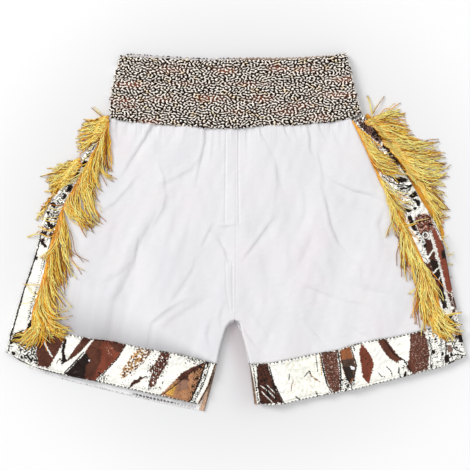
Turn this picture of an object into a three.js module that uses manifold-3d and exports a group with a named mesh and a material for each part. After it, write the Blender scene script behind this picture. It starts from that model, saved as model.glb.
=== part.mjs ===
import * as THREE from 'three';
import { mergeVertices } from 'three/addons/utils/BufferGeometryUtils.js';
import Module from 'manifold-3d';

// Boxing shorts with fringed side stripes, lying flat with the front up.
// Millimetres. X runs across the waist, Y runs up the legs to the waist, Z is up from the surface they lie on.
// "left" is the -X side, "right" is the +X side.

// ---- driving dimensions ----
const FABRIC = 1.2;            // panel and stripe cloth, with its wrinkles
const LINING = 1.0;            // waist and hem lining cloth
const ELASTIC = 1.3;           // wide waist elastic
const GAP = 0.3;               // clear space between neighbouring pieces
const FRINGE = 1.5;            // depth of the strands as they lie
const TAPE = 1.0;              // fringe header tape thickness
const TAPE_WIDTH = 6.0;        // header tape width
const TAPE_CLEAR = 1.2;        // header tape edge to the line the strands bend on
const ELASTIC_MARGIN = 0.05;   // part of the waistband's height left free above and below the elastic
const HEM_LINING_IN = 0.55;    // part of the hem band's height that the lining reaches up

// heights of the layers above the surface
const Z = {
  backPanel: [0, FABRIC],
  backStripe: [2.0, 2.0 + FABRIC],
  backTape: [0.4, 0.4 + TAPE],
  backFringe: [0.2, 0.2 + FRINGE],
  backHemLining: [1.5, 1.5 + LINING],
  frontHemLining: [7.9, 7.9 + LINING],
  frontPanel: [9.2, 9.2 + FABRIC],
  frontTape: [10.7, 10.7 + TAPE],
  frontFringe: [10.7, 10.7 + FRINGE],
  waistBackShell: [0, FABRIC],
  waistBackElastic: [1.5, 1.5 + ELASTIC],
  waistBackLining: [3.1, 3.1 + LINING],
  waistFrontLining: [8.8, 8.8 + LINING],
  waistFrontElastic: [10.1, 10.1 + ELASTIC],
  waistFrontShell: [11.7, 11.7 + FABRIC],
};
const SEAM_Z = 6.4;            // height at which front and back meet along the waistband's side seams

// ---- outlines of the cloth pieces ----
const EDGE = {
  waistTopFront: [[-163.8,248.5],[-141.4,246.4],[-106.4,244.3],[-50.4,241.5],[0.0,242.2],[47.6,242.2],[103.6,244.3],[134.4,247.8],[155.4,252.0]],
  waistTopBack: [[-163.8,249.2],[-148.4,252.0],[-106.4,249.2],[-50.4,245.7],[19.6,246.4],[75.6,246.4],[124.6,249.2],[155.4,252.0]],
  waistBottom: [[-177.8,161.0],[-148.4,155.4],[-106.4,151.2],[-64.4,147.7],[-22.4,145.6],[0.0,145.6],[33.6,149.1],[89.6,151.2],[131.6,155.4],[159.6,159.6],[177.8,168.0]],
  waistLeft: [[-177.8,161.0],[-178.4,177.8],[-177.4,193.2],[-173.6,211.4],[-168.0,233.8],[-163.8,249.2]],
  waistRight: [[177.8,168.0],[173.6,179.2],[170.8,193.2],[165.2,214.2],[160.3,236.6],[155.4,252.0]],
  stripeInLeft: [[-175.0,158.2],[-184.8,140.0],[-194.6,120.4],[-204.4,102.2],[-214.2,85.4],[-225.4,64.4],[-236.6,46.2],[-245.0,29.4],[-250.6,11.2],[-257.6,-9.8],[-263.2,-32.2],[-267.4,-51.8],[-273.0,-72.8],[-278.6,-91.0],[-284.2,-110.6],[-285.6,-128.8],[-282.8,-141.4],[-280.0,-163.8],[-277.2,-190.4]],
  stripeOutLeft: [[-180.6,159.6],[-190.4,148.4],[-198.8,130.2],[-210.0,113.4],[-219.8,99.4],[-231.0,85.4],[-240.8,70.0],[-250.6,56.0],[-260.4,42.0],[-267.4,28.0],[-273.0,11.2],[-277.2,-9.8],[-282.8,-33.6],[-291.2,-57.4],[-296.8,-74.2],[-305.2,-100.8],[-313.6,-124.6],[-319.2,-149.8],[-323.4,-166.6]],
  stripeBackLeft: [[-169.4,158.2],[-182.0,144.2],[-191.8,127.4],[-203.0,110.6],[-212.8,95.2],[-222.6,81.2],[-232.4,64.4],[-240.8,50.4],[-247.8,35.0],[-252.0,18.2],[-254.8,-2.8],[-259.0,-23.8],[-264.6,-44.8],[-270.2,-65.8],[-275.8,-86.8],[-282.8,-107.8],[-288.4,-128.8],[-291.2,-149.8],[-291.2,-166.6],[-289.8,-190.4]],
  backTapeLeft: [[-186.2,161.0],[-194.6,149.8],[-203.0,133.0],[-214.2,116.2],[-224.0,102.2],[-235.2,88.2],[-245.0,72.8],[-254.8,58.8],[-264.6,44.8],[-271.6,30.8],[-277.2,15.4],[-276.5,1.4],[-271.6,-15.4],[-268.8,-30.8],[-267.4,-44.8],[-270.2,-65.8],[-275.8,-86.8],[-282.8,-107.8],[-288.4,-128.8],[-289.8,-142.8]],
  stripeInRight: [[162.4,156.8],[170.8,140.0],[180.6,119.0],[190.4,96.6],[203.0,71.4],[214.2,51.8],[225.4,32.2],[236.6,11.2],[247.8,-14.0],[259.0,-37.8],[270.2,-64.4],[280.0,-91.0],[285.6,-112.0],[287.0,-130.2],[287.0,-144.2],[287.7,-163.8],[288.4,-188.3]],
  stripeOutRight: [[179.2,165.9],[190.4,151.2],[201.6,134.4],[212.8,119.0],[224.0,105.0],[233.8,91.0],[243.6,75.6],[252.0,60.2],[260.4,44.8],[271.6,28.0],[281.4,11.2],[288.4,-4.2],[292.6,-22.4],[296.8,-43.4],[301.0,-67.2],[305.2,-88.2],[310.8,-109.2],[315.0,-133.0],[319.2,-154.0],[323.4,-172.2]],
  stripeBackRight: [[169.4,161.0],[182.0,142.8],[193.2,124.6],[205.8,106.4],[217.0,91.0],[228.2,74.2],[238.0,57.4],[246.4,40.6],[256.2,22.4],[264.6,5.6],[270.2,-11.2],[274.4,-32.2],[278.6,-51.8],[282.8,-72.8],[287.0,-93.8],[291.2,-114.8],[294.0,-135.8],[295.4,-154.0],[296.8,-186.2]],
  backTapeRight: [[184.8,168.0],[196.0,154.0],[207.2,137.2],[218.4,121.8],[229.6,107.8],[239.4,93.8],[249.2,78.4],[257.6,63.0],[266.0,47.6],[277.2,30.8],[287.0,14.0],[292.6,0.0],[289.8,-15.4],[282.8,-30.8],[280.0,-47.6],[282.8,-72.8],[287.0,-93.8],[291.2,-114.8],[294.0,-135.8]],
  centreFront: [[-0.7,145.6],[-0.7,102.2],[-0.7,46.2],[-0.7,-9.8],[-0.7,-65.8],[-0.7,-107.8],[-2.1,-123.2]],
  inseamFrontLeft: [[-2.1,-123.2],[-12.6,-134.4],[-21.0,-156.8],[-26.6,-183.4]],
  inseamFrontRight: [[-2.1,-123.2],[7.0,-134.4],[14.0,-158.2],[19.6,-183.4]],
  hemTopFrontLeft: [[-282.8,-141.4],[-260.4,-139.3],[-238.0,-140.7],[-204.4,-147.7],[-176.4,-151.2],[-148.4,-156.8],[-120.4,-162.4],[-92.4,-166.6],[-64.4,-173.6],[-43.4,-179.2],[-26.6,-183.4]],
  hemTopFrontRight: [[19.6,-183.4],[47.6,-182.0],[68.6,-177.8],[89.6,-173.6],[117.6,-168.0],[145.6,-163.1],[159.6,-157.5],[176.4,-153.3],[198.8,-148.4],[218.4,-146.3],[236.6,-142.1],[257.6,-137.2],[287.0,-130.2]],
  hemBottomFrontLeft: [[-277.2,-190.4],[-250.6,-197.4],[-225.4,-202.3],[-197.4,-207.9],[-162.4,-215.6],[-120.4,-225.4],[-85.4,-233.1],[-51.8,-240.8]],
  hemBottomFrontRight: [[29.4,-239.4],[50.4,-241.5],[70.0,-239.4],[89.6,-234.5],[117.6,-228.9],[145.6,-224.0],[165.2,-219.8],[190.4,-213.5],[222.6,-205.1],[249.2,-198.1],[274.4,-191.8],[288.4,-188.3]],
  hemInseamFrontLeft: [[-26.6,-183.4],[-36.4,-211.4],[-51.8,-240.8]],
  hemInseamFrontRight: [[19.6,-183.4],[25.2,-211.4],[29.4,-239.4]],
  centreBack: [[-0.7,145.6],[-0.7,102.2],[-0.7,46.2],[-0.7,-9.8],[-0.7,-65.8],[-0.7,-107.8],[-0.7,-126.0]],
  inseamBackLeft: [[-0.7,-126.0],[-11.2,-140.0],[-19.6,-165.2],[-25.2,-194.6]],
  inseamBackRight: [[-0.7,-126.0],[5.6,-140.0],[11.2,-161.0],[15.4,-183.4]],
  hemTopBackLeft: [[-291.2,-149.8],[-260.4,-154.0],[-225.4,-158.2],[-190.4,-163.8],[-148.4,-172.2],[-106.4,-180.6],[-64.4,-189.0],[-25.2,-194.6]],
  hemTopBackRight: [[15.4,-183.4],[47.6,-182.0],[89.6,-173.6],[145.6,-163.8],[198.8,-152.6],[236.6,-144.2],[295.4,-133.0]],
  hemBottomBackLeft: [[-289.8,-190.4],[-246.4,-205.1],[-190.4,-219.1],[-120.4,-235.9],[-78.4,-245.0],[-44.8,-252.0]],
  hemBottomBackRight: [[25.2,-240.8],[50.4,-242.2],[70.0,-240.1],[117.6,-229.6],[165.2,-220.5],[222.6,-205.8],[296.8,-186.2]],
  hemInseamBackLeft: [[-25.2,-194.6],[-33.6,-221.2],[-44.8,-252.0]],
  hemInseamBackRight: [[15.4,-183.4],[21.0,-212.8],[25.2,-240.8]],
};
const TUFTS = {
  fringe_left_front_1: { lies: 'front', header: [[-177.1,152.6],[-212.1,86.8]], tips: [[-196.0,79.8],[-177.8,72.1],[-166.6,76.3],[-184.8,86.8],[-180.6,98.0],[-177.8,116.2],[-180.6,133.0]] },
  fringe_left_front_2: { lies: 'front', header: [[-213.5,83.3],[-242.9,31.5]], tips: [[-232.4,21.0],[-218.4,14.0],[-198.8,-0.7],[-190.4,9.8],[-189.0,22.4],[-201.6,36.4],[-194.6,47.6],[-189.0,63.0],[-198.8,72.8]] },
  fringe_left_front_3: { lies: 'front', header: [[-243.6,28.0],[-263.9,-47.6]], tips: [[-249.2,-68.6],[-236.6,-64.4],[-222.6,-65.8],[-212.8,-53.2],[-207.2,-40.6],[-232.4,-14.0],[-233.8,15.4]] },
  fringe_left_front_4: { lies: 'front', header: [[-265.3,-51.8],[-281.4,-109.2]], tips: [[-264.6,-117.6],[-246.4,-120.4],[-228.2,-116.9],[-228.2,-102.2],[-242.2,-105.0],[-242.2,-91.0],[-250.6,-75.6]] },
  fringe_left_front_end: { lies: 'front', header: [[-295.4,-120.4],[-260.4,-126.0]], tips: [[-238.0,-126.7],[-225.4,-135.8],[-240.8,-145.6],[-263.2,-155.4],[-284.2,-163.1],[-302.4,-162.4],[-313.6,-156.8],[-305.2,-140.0]] },
  fringe_right_front_1: { lies: 'over', header: [[165.9,154.0],[201.6,74.2]], tips: [[214.2,60.2],[228.2,54.6],[245.0,63.0],[236.6,79.8],[228.2,93.8],[210.0,102.2],[198.8,114.8],[189.0,128.8],[177.8,142.8]] },
  fringe_right_front_2: { lies: 'front', header: [[202.3,70.0],[235.2,12.6]], tips: [[228.2,1.4],[210.0,-7.7],[218.4,12.6],[216.3,33.6],[208.6,51.8]] },
  fringe_right_front_3: { lies: 'front', header: [[235.9,9.1],[268.8,-62.3]], tips: [[256.2,-79.8],[247.8,-77.0],[235.2,-68.6],[231.0,-44.8],[229.6,-21.0],[225.4,-4.2]] },
  fringe_right_front_4: { lies: 'front', header: [[269.5,-65.8],[283.5,-106.4]], tips: [[275.8,-124.6],[268.8,-141.4],[259.0,-133.0],[255.5,-121.8],[252.0,-100.8],[256.2,-84.0]] },
  fringe_right_front_end: { lies: 'front', header: [[278.6,-114.8],[309.4,-110.6]], tips: [[315.0,-133.0],[310.8,-147.0],[294.0,-151.2],[274.4,-141.4],[277.9,-126.0]] },
  fringe_left_back_1: { lies: 'out', header: [[-187.6,163.8],[-216.3,117.6]], tips: [[-224.0,113.4],[-225.4,124.6],[-224.0,134.4],[-218.4,148.4],[-212.8,156.1],[-205.8,177.1],[-198.8,177.8]] },
  fringe_left_back_2: { lies: 'out', header: [[-227.5,103.6],[-256.9,61.6]], tips: [[-257.6,51.1],[-269.5,58.1],[-267.4,71.4],[-275.8,79.8],[-252.0,90.3],[-238.0,101.5]] },
  fringe_left_back_3: { lies: 'out', header: [[-259.7,56.7],[-277.9,25.9]], tips: [[-284.2,12.6],[-295.4,-5.6],[-287.0,18.2],[-277.2,36.4],[-271.6,47.6]] },
  fringe_left_back_4: { lies: 'under', header: [[-269.5,-32.2],[-297.5,-133.0]], tips: [[-302.4,-152.6],[-313.6,-158.2],[-315.0,-147.0],[-309.4,-124.6],[-302.4,-102.2],[-294.0,-77.0],[-287.0,-56.0],[-280.0,-37.8]] },
  fringe_right_back_1: { lies: 'out', header: [[189.7,167.3],[219.1,126.7]], tips: [[242.2,134.4],[245.0,144.9],[236.6,152.6],[238.0,169.4],[221.2,174.3],[209.3,192.5],[196.0,180.6],[184.8,192.5]] },
  fringe_right_back_2: { lies: 'out', header: [[222.6,123.2],[257.6,72.1]], tips: [[280.0,63.0],[295.4,65.8],[301.0,78.4],[302.4,95.9],[295.4,105.7],[282.8,116.2],[277.2,126.0],[249.2,132.3]] },
  fringe_right_back_3: { lies: 'out', header: [[261.8,65.1],[287.7,21.7]], tips: [[295.4,12.6],[301.7,21.0],[300.3,32.2],[287.0,49.7],[274.4,59.5]] },
  fringe_right_back_4: { lies: 'under', header: [[283.5,-37.8],[301.0,-133.0]], tips: [[305.2,-152.6],[313.6,-155.4],[313.6,-144.2],[309.4,-121.8],[303.8,-98.0],[298.2,-74.2],[294.0,-51.8],[291.2,-40.6]] },
};

const wasm = await Module();
wasm.setup();
const { CrossSection, Manifold, Mesh } = wasm;

// ---- plane shapes ----
const area = (p) => p.reduce((s, [x, y], i) => {
  const [u, v] = p[(i + 1) % p.length];
  return s + x * v - u * y;
}, 0) / 2;
const region = (...lines) => {
  const pts = lines.flat();
  return new CrossSection([area(pts) < 0 ? pts.slice().reverse() : pts], 'Positive');
};
const back = (line) => line.slice().reverse();
const inset = (cs, d) => cs.offset(-d, 'Miter', 2);
const outset = (cs, d) => cs.offset(d, 'Miter', 2);

// the largest piece of a region, tidied
function biggest(cs) {
  const parts = cs.simplify(0.02).decompose();
  return parts.sort((a, b) => b.area() - a.area())[0];
}

function shapeOf(cs) {
  const loops = cs.toPolygons();
  const outer = loops.filter((l) => area(l) > 0);
  const holes = loops.filter((l) => area(l) < 0);
  if (outer.length !== 1) throw new Error('one outline expected, found ' + outer.length);
  const shape = new THREE.Shape(outer[0].map(([x, y]) => new THREE.Vector2(x, y)));
  for (const h of holes) shape.holes.push(new THREE.Path(h.map(([x, y]) => new THREE.Vector2(x, y))));
  return shape;
}

function plate(cs, [z0, z1]) {
  const g = new THREE.ExtrudeGeometry(shapeOf(cs), { depth: z1 - z0, bevelEnabled: false, steps: 1 });
  g.translate(0, 0, z0);
  return g;
}

// ---- joining plates into one body ----
function toManifold(geometry) {
  const g = geometry.clone();
  for (const name of Object.keys(g.attributes)) if (name !== 'position') g.deleteAttribute(name);
  const m = mergeVertices(g, 1e-4);
  return new Manifold(new Mesh({
    numProp: 3,
    vertProperties: new Float32Array(m.attributes.position.array),
    triVerts: new Uint32Array(m.index.array),
  }));
}

function joined(plates) {
  const geos = plates.map(([cs, z]) => plate(cs, z));
  if (geos.length === 1) return geos[0];
  const mesh = Manifold.union(geos.map(toManifold)).getMesh();
  const g = new THREE.BufferGeometry();
  g.setAttribute('position', new THREE.BufferAttribute(new Float32Array(mesh.vertProperties), 3));
  g.setIndex(new THREE.BufferAttribute(new Uint32Array(mesh.triVerts), 1));
  const flat = g.toNonIndexed();
  flat.computeVertexNormals();
  return flat;
}

// ---- materials ----
const cloth = (color, roughness, metalness = 0) =>
  new THREE.MeshStandardMaterial({ color, roughness, metalness });
const SATIN = () => cloth(0xe9e8ee, 0.45);
const FOIL = () => cloth(0x9a7448, 0.35, 0.6);
const STRIPE_FOIL = () => cloth(0x8a6138, 0.3, 0.6);
const WHITE_LINING = () => cloth(0xf2efe6, 0.8);
const ELASTIC_WHITE = () => cloth(0xf4f2ec, 0.9);
const TAPE_YELLOW = () => cloth(0xd99a28, 0.85);
const FRINGE_YELLOW = () => cloth(0xe9b43a, 0.6);

const group = new THREE.Group();
group.name = 'boxing_shorts';
function add(name, material, plates) {
  const mesh = new THREE.Mesh(joined(plates), material());
  mesh.name = name;
  group.add(mesh);
  return mesh;
}

// ---- waistband ----
function along(line, n) {
  const len = [0];
  for (let i = 1; i < line.length; i++) {
    len.push(len[i - 1] + Math.hypot(line[i][0] - line[i - 1][0], line[i][1] - line[i - 1][1]));
  }
  const out = [];
  for (let k = 0; k <= n; k++) {
    const t = (len[len.length - 1] * k) / n;
    let i = 1;
    while (i < len.length - 1 && len[i] < t) i++;
    const u = (t - len[i - 1]) / (len[i] - len[i - 1]);
    out.push([line[i - 1][0] + u * (line[i][0] - line[i - 1][0]), line[i - 1][1] + u * (line[i][1] - line[i - 1][1])]);
  }
  return out;
}
const WAIST_STEPS = 14, SIDE_STEPS = 6;
// a strip of the waistband between two fractions of its height, narrowed by `side` at both ends
function waistStrip(topLine, f0, f1, side) {
  const top = along(topLine, WAIST_STEPS), bottom = along(EDGE.waistBottom, WAIST_STEPS);
  const left = along(back(EDGE.waistLeft), 60), right = along(back(EDGE.waistRight), 60);
  const at = (s, f) => {
    const k = s * WAIST_STEPS, i = Math.min(WAIST_STEPS - 1, Math.floor(k)), u = k - i;
    const mix = (a) => [a[i][0] + u * (a[i + 1][0] - a[i][0]), a[i][1] + u * (a[i + 1][1] - a[i][1])];
    const a = mix(top), b = mix(bottom);
    const row = Math.round(f * 60);
    const bowL = left[row][0] - (top[0][0] + f * (bottom[0][0] - top[0][0]));
    const bowR = right[row][0] - (top[WAIST_STEPS][0] + f * (bottom[WAIST_STEPS][0] - top[WAIST_STEPS][0]));
    const x = a[0] + f * (b[0] - a[0]) + (1 - s) * bowL + s * bowR;
    const y = a[1] + f * (b[1] - a[1]);
    return [x + side * (1 - 2 * s), y];
  };
  const edge = (f) => Array.from({ length: WAIST_STEPS + 1 }, (_, i) => at(i / WAIST_STEPS, f));
  const sideLine = (s) => Array.from({ length: SIDE_STEPS + 1 }, (_, i) => at(s, f0 + ((f1 - f0) * i) / SIDE_STEPS));
  const L = sideLine(0), R = sideLine(1);
  const full = region(edge(f1), back(R).slice(1, -1), back(edge(f0)), L.slice(1, -1));
  const wall = (line, t) => region(line, back(line.map(([x, y]) => [x + t, y])));
  return { full, left: (t) => wall(L, t), right: (t) => wall(R, -t) };
}
let waistZone;
const shellIn = 0, elasticIn = FABRIC + GAP, liningIn = FABRIC + ELASTIC + 2 * GAP;
{
  const f = waistStrip(EDGE.waistTopFront, 0, 1, shellIn), b = waistStrip(EDGE.waistTopBack, 0, 1, shellIn);
  waistZone = outset(f.full.add(b.full), GAP);
  add('waistband_front_shell', FOIL, [
    [inset(f.full, 0), Z.waistFrontShell],
    [f.left(FABRIC), [SEAM_Z + GAP / 2, Z.waistFrontShell[1]]],
    [f.right(FABRIC), [SEAM_Z + GAP / 2, Z.waistFrontShell[1]]],
  ]);
  add('waistband_back_shell', FOIL, [
    [b.full, Z.waistBackShell],
    [b.left(FABRIC), [0, SEAM_Z - GAP / 2]],
    [b.right(FABRIC), [0, SEAM_Z - GAP / 2]],
  ]);
  const fl = waistStrip(EDGE.waistTopFront, 0.02, 0.98, liningIn), bl = waistStrip(EDGE.waistTopBack, 0.02, 0.98, liningIn);
  add('waistband_front_lining', WHITE_LINING, [
    [fl.full, Z.waistFrontLining],
    [fl.left(LINING), [SEAM_Z + GAP / 2, Z.waistFrontLining[1]]],
    [fl.right(LINING), [SEAM_Z + GAP / 2, Z.waistFrontLining[1]]],
  ]);
  add('waistband_back_lining', WHITE_LINING, [
    [bl.full, Z.waistBackLining],
    [bl.left(LINING), [Z.waistBackLining[0], SEAM_Z - GAP / 2]],
    [bl.right(LINING), [Z.waistBackLining[0], SEAM_Z - GAP / 2]],
  ]);
  const e = waistStrip(EDGE.waistTopFront, ELASTIC_MARGIN, 1 - ELASTIC_MARGIN, elasticIn);
  const zs = [Z.waistBackElastic[0], Z.waistFrontElastic[1]];
  add('waistband_elastic', ELASTIC_WHITE, [
    [e.full, Z.waistFrontElastic],
    [e.full, Z.waistBackElastic],
    [e.left(ELASTIC), zs],
    [e.right(ELASTIC), zs],
  ]);
}

// ---- side stripes: a folded strip of cloth from the front seam, round the side, to the back seam ----
const HEM_CORNER = {
  left: [[-321.0, -172.5], [-313.6, -177.8], [-304, -182.6]],
  right: [[321, -175.5], [313, -179.5], [305, -183]],
};
const stripes = {};
for (const [side, IN, OUT, BACK] of [
  ['left', EDGE.stripeInLeft, EDGE.stripeOutLeft, EDGE.stripeBackLeft],
  ['right', EDGE.stripeInRight, EDGE.stripeOutRight, EDGE.stripeBackRight],
]) {
  const corner = HEM_CORNER[side];
  const s = side === 'left' ? 1 : -1;
  const front = biggest(inset(region(OUT, corner, back(IN)), GAP / 2).subtract(waistZone));
  const rear = biggest(inset(region(OUT, corner, back(BACK)), GAP / 2).subtract(waistZone));
  const fold = region(OUT, corner.slice(0, 1), back(OUT.concat(corner.slice(0, 1)).map(([x, y]) => [x + s * FABRIC * 1.25, y])));
  const wall = biggest(inset(fold, 0).intersect(front).intersect(rear));
  stripes[side] = { front, rear };
  add(`side_stripe_${side}`, STRIPE_FOIL, [
    [front, Z.frontPanel],
    [rear, Z.backStripe],
    [wall, [Z.backStripe[0], Z.frontPanel[1]]],
  ]);
}

// ---- fringe: header tapes and the strands hanging from them, section by section ----
const unit = ([[x0, y0], [x1, y1]]) => {
  const l = Math.hypot(x1 - x0, y1 - y0);
  return [(x1 - x0) / l, (y1 - y0) / l, l];
};
// +1 when the tips lie to the left of the header as it runs, -1 when to the right
const sideOf = ({ header, tips }) => {
  const [dx, dy] = unit(header);
  const c = tips.reduce((s, [x, y]) => s + (dx * (y - header[0][1]) - dy * (x - header[0][0])), 0);
  return Math.sign(c);
};
function band({ header }, side, near, far) {
  const [dx, dy] = unit(header);
  const n = [-dy * side, dx * side];
  const at = ([x, y], d) => [x + n[0] * d, y + n[1] * d];
  return [header.map((p) => at(p, near)), header.map((p) => at(p, far))];
}
function tapeOf(sections) {
  const bands = sections.map((t) => band(t, -sideOf(t), TAPE_CLEAR, TAPE_CLEAR + TAPE_WIDTH));
  let cs = null;
  bands.forEach(([a, b], i) => {
    const rect = region([a[0], a[1], b[1], b[0]]);
    cs = cs ? cs.add(rect) : rect;
    if (i) {
      const [p, q] = bands[i - 1];
      cs = cs.add(CrossSection.hull([[p[1], q[1], a[0], b[0]]]));
    }
  });
  return cs;
}
// `before` and `after` are how far the strands may spread past the two ends of their header
function strandsOf(t, tape, before, after) {
  const [dx, dy, len] = unit(t.header);
  const [x0, y0] = t.header[0];
  let cs = region(t.header, t.tips);
  const n = sideOf(t);
  const box = (u0, u1, v0, v1) => region([[u0, v0], [u1, v0], [u1, v1], [u0, v1]].map(([u, v]) =>
    [x0 + dx * u - dy * n * v, y0 + dy * u + dx * n * v]));
  cs = cs.intersect(box(-before, len + after, 0, 200));
  return biggest(cs.subtract(outset(tape, 0.5)));
}
const fringe = {};
for (const side of ['left', 'right']) {
  for (const face of ['front', 'back']) {
    const names = Object.keys(TUFTS).filter((n) => n.startsWith(`fringe_${side}_${face}_`));
    const tape = biggest(tapeOf(names.filter((n) => !n.endsWith('end')).map((n) => TUFTS[n])));
    const strands = [];
    for (const n of names) {
      const end = n.endsWith('end');
      const last = n === names.filter((m) => !m.endsWith('end')).pop();
      let r = strandsOf(TUFTS[n], tape, end || !strands.length ? 30 : 0.6, end || (last && face === 'back') ? 30 : 0.6);
      if (strands.length) r = biggest(r.subtract(outset(strands[strands.length - 1][1], 0.6)));
      strands.push([n, r]);
    }
    fringe[side + face] = { tape, strands };
  }
}
// the space the rear header tape and strands take up under the side
const rearFringeZone = (side) => fringe[side + 'back'].strands.reduce((cs, [, r]) => cs.add(outset(r, 0.5)),
  outset(fringe[side + 'back'].tape, 0.4));

// ---- front and back panels ----
const waistMid = 5;
const bottomLeft = EDGE.waistBottom.slice(0, waistMid + 1), bottomRight = EDGE.waistBottom.slice(waistMid);
function downTo(line, t, z0, z1, within) {
  const wall = region(line, back(line.map(([x, y]) => [x + t, y])));
  return [biggest(wall.intersect(within)), [z0, z1]];
}
const WALL_FOOT = Z.backPanel[1] + GAP;
for (const side of ['left', 'right']) {
  const L = side === 'left';
  const stripeIn = L ? EDGE.stripeInLeft : EDGE.stripeInRight;
  const stripeBack = L ? EDGE.stripeBackLeft : EDGE.stripeBackRight;
  const waist = L ? bottomLeft : back(bottomRight);           // from the side seam to the centre
  const hemF = L ? EDGE.hemTopFrontLeft : back(EDGE.hemTopFrontRight);
  const hemB = L ? EDGE.hemTopBackLeft : back(EDGE.hemTopBackRight);
  const inF = L ? EDGE.inseamFrontLeft : EDGE.inseamFrontRight;
  const inB = L ? EDGE.inseamBackLeft : EDGE.inseamBackRight;

  // the panel runs waist, centre seam, inseam, hem seam, side seam
  const above = (line, y) => back(line.filter((p) => p[1] > y + 1));
  let f = region(waist, EDGE.centreFront.slice(1), inF.slice(1), back(hemF), above(stripeIn, hemF[0][1]));
  f = inset(f, GAP / 2).subtract(outset(stripes[side].front, GAP));
  f = biggest(f.subtract(waistZone));
  add(`front_panel_${side}`, SATIN, [
    [f, Z.frontPanel],
    downTo(inF, L ? -FABRIC * 1.6 : FABRIC * 1.6, WALL_FOOT, Z.frontPanel[1], f),
  ]);
  let b = region(waist, EDGE.centreBack.slice(1), inB.slice(1), back(hemB), above(stripeBack, hemB[0][1]));
  b = inset(b, GAP / 2).subtract(outset(stripes[side].rear, GAP));
  b = biggest(b.subtract(waistZone).subtract(rearFringeZone(side)));
  add(`back_panel_${side}`, SATIN, [[b, Z.backPanel]]);

  // ---- hem bands ----
  const hemEndF = L ? EDGE.hemInseamFrontLeft : EDGE.hemInseamFrontRight;
  const hemEndB = L ? EDGE.hemInseamBackLeft : EDGE.hemInseamBackRight;
  const hemBotF = L ? EDGE.hemBottomFrontLeft : back(EDGE.hemBottomFrontRight);
  const hemBotB = L ? EDGE.hemBottomBackLeft : back(EDGE.hemBottomBackRight);
  let hf = region(hemF, hemEndF.slice(1), back(hemBotF).slice(1));
  hf = biggest(inset(hf, GAP / 2).subtract(outset(stripes[side].front, GAP)));
  const t = L ? -FABRIC * 1.6 : FABRIC * 1.3;
  add(`hem_band_${side}_front`, FOIL, [
    [hf, Z.frontPanel],
    downTo(hemEndF, t, WALL_FOOT, Z.frontPanel[1], hf),
  ]);
  let hb = region(hemB, hemEndB.slice(1), back(hemBotB).slice(1));
  hb = biggest(inset(hb, GAP / 2).subtract(outset(stripes[side].rear, GAP)).subtract(rearFringeZone(side)));
  add(`hem_band_${side}_back`, FOIL, [[hb, Z.backPanel]]);

  // ---- hem linings, inside the leg ----
  const mid = (a, b2, k) => {
    const p = along(a, 12), q = along(b2, 12);
    return p.map(([x, y], i) => [x + k * (q[i][0] - x), y + k * (q[i][1] - y)]);
  };
  const wallZone = outset(region(hemEndF, back(hemEndF.map(([x, y]) => [x + t, y]))), 0.7);
  const lf = region(mid(hemF, hemBotF, 1 - HEM_LINING_IN), back(hemBotF));
  add(`hem_lining_${side}_front`, WHITE_LINING, [[
    biggest(inset(lf.intersect(hf), 1.2).subtract(wallZone).subtract(outset(stripes[side].front, 1.5))), Z.frontHemLining]]);
  const lb = region(mid(hemB, hemBotB, 1 - HEM_LINING_IN), back(hemBotB));
  add(`hem_lining_${side}_back`, WHITE_LINING, [[
    biggest(inset(lb.intersect(hb), 1.2).subtract(wallZone).subtract(outset(stripes[side].rear, 1.5))), Z.backHemLining]]);
}

// ---- the fringe pieces ----
for (const side of ['left', 'right']) {
  for (const face of ['front', 'back']) {
    const { tape, strands } = fringe[side + face];
    add(`fringe_tape_${side}_${face}`, TAPE_YELLOW, [[tape, Z[face + 'Tape']]]);
    for (const [n, r] of strands) add(n, FRINGE_YELLOW, [[r, Z[face + 'Fringe']]]);
  }
}

// ---- origin under the middle of the whole ----
const box = new THREE.Box3().setFromObject(group);
const centre = box.getCenter(new THREE.Vector3());
for (const mesh of group.children) mesh.geometry.translate(-centre.x, -centre.y, -box.min.z);
group.userData.shift = [-centre.x, -centre.y, -box.min.z];

export default group;
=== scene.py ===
"""Boxing shorts lying flat, front up: satin panels, shirred foil waistband, foil stripes and hems, fringe."""
import math

import bpy
import numpy as np
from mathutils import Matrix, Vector


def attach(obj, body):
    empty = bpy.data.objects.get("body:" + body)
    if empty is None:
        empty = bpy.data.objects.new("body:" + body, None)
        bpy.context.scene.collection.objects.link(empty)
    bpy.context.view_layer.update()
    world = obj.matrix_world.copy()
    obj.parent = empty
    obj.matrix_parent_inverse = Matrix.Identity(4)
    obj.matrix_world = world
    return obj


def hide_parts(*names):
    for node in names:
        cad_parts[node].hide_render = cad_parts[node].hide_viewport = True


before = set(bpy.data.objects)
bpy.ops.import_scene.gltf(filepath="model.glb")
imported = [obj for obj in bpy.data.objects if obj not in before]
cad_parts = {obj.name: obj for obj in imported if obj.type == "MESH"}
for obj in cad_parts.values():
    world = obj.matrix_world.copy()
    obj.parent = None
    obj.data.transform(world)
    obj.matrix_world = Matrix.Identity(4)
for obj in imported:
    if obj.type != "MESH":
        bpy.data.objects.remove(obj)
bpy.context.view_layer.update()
rng = np.random.default_rng(7)

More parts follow.
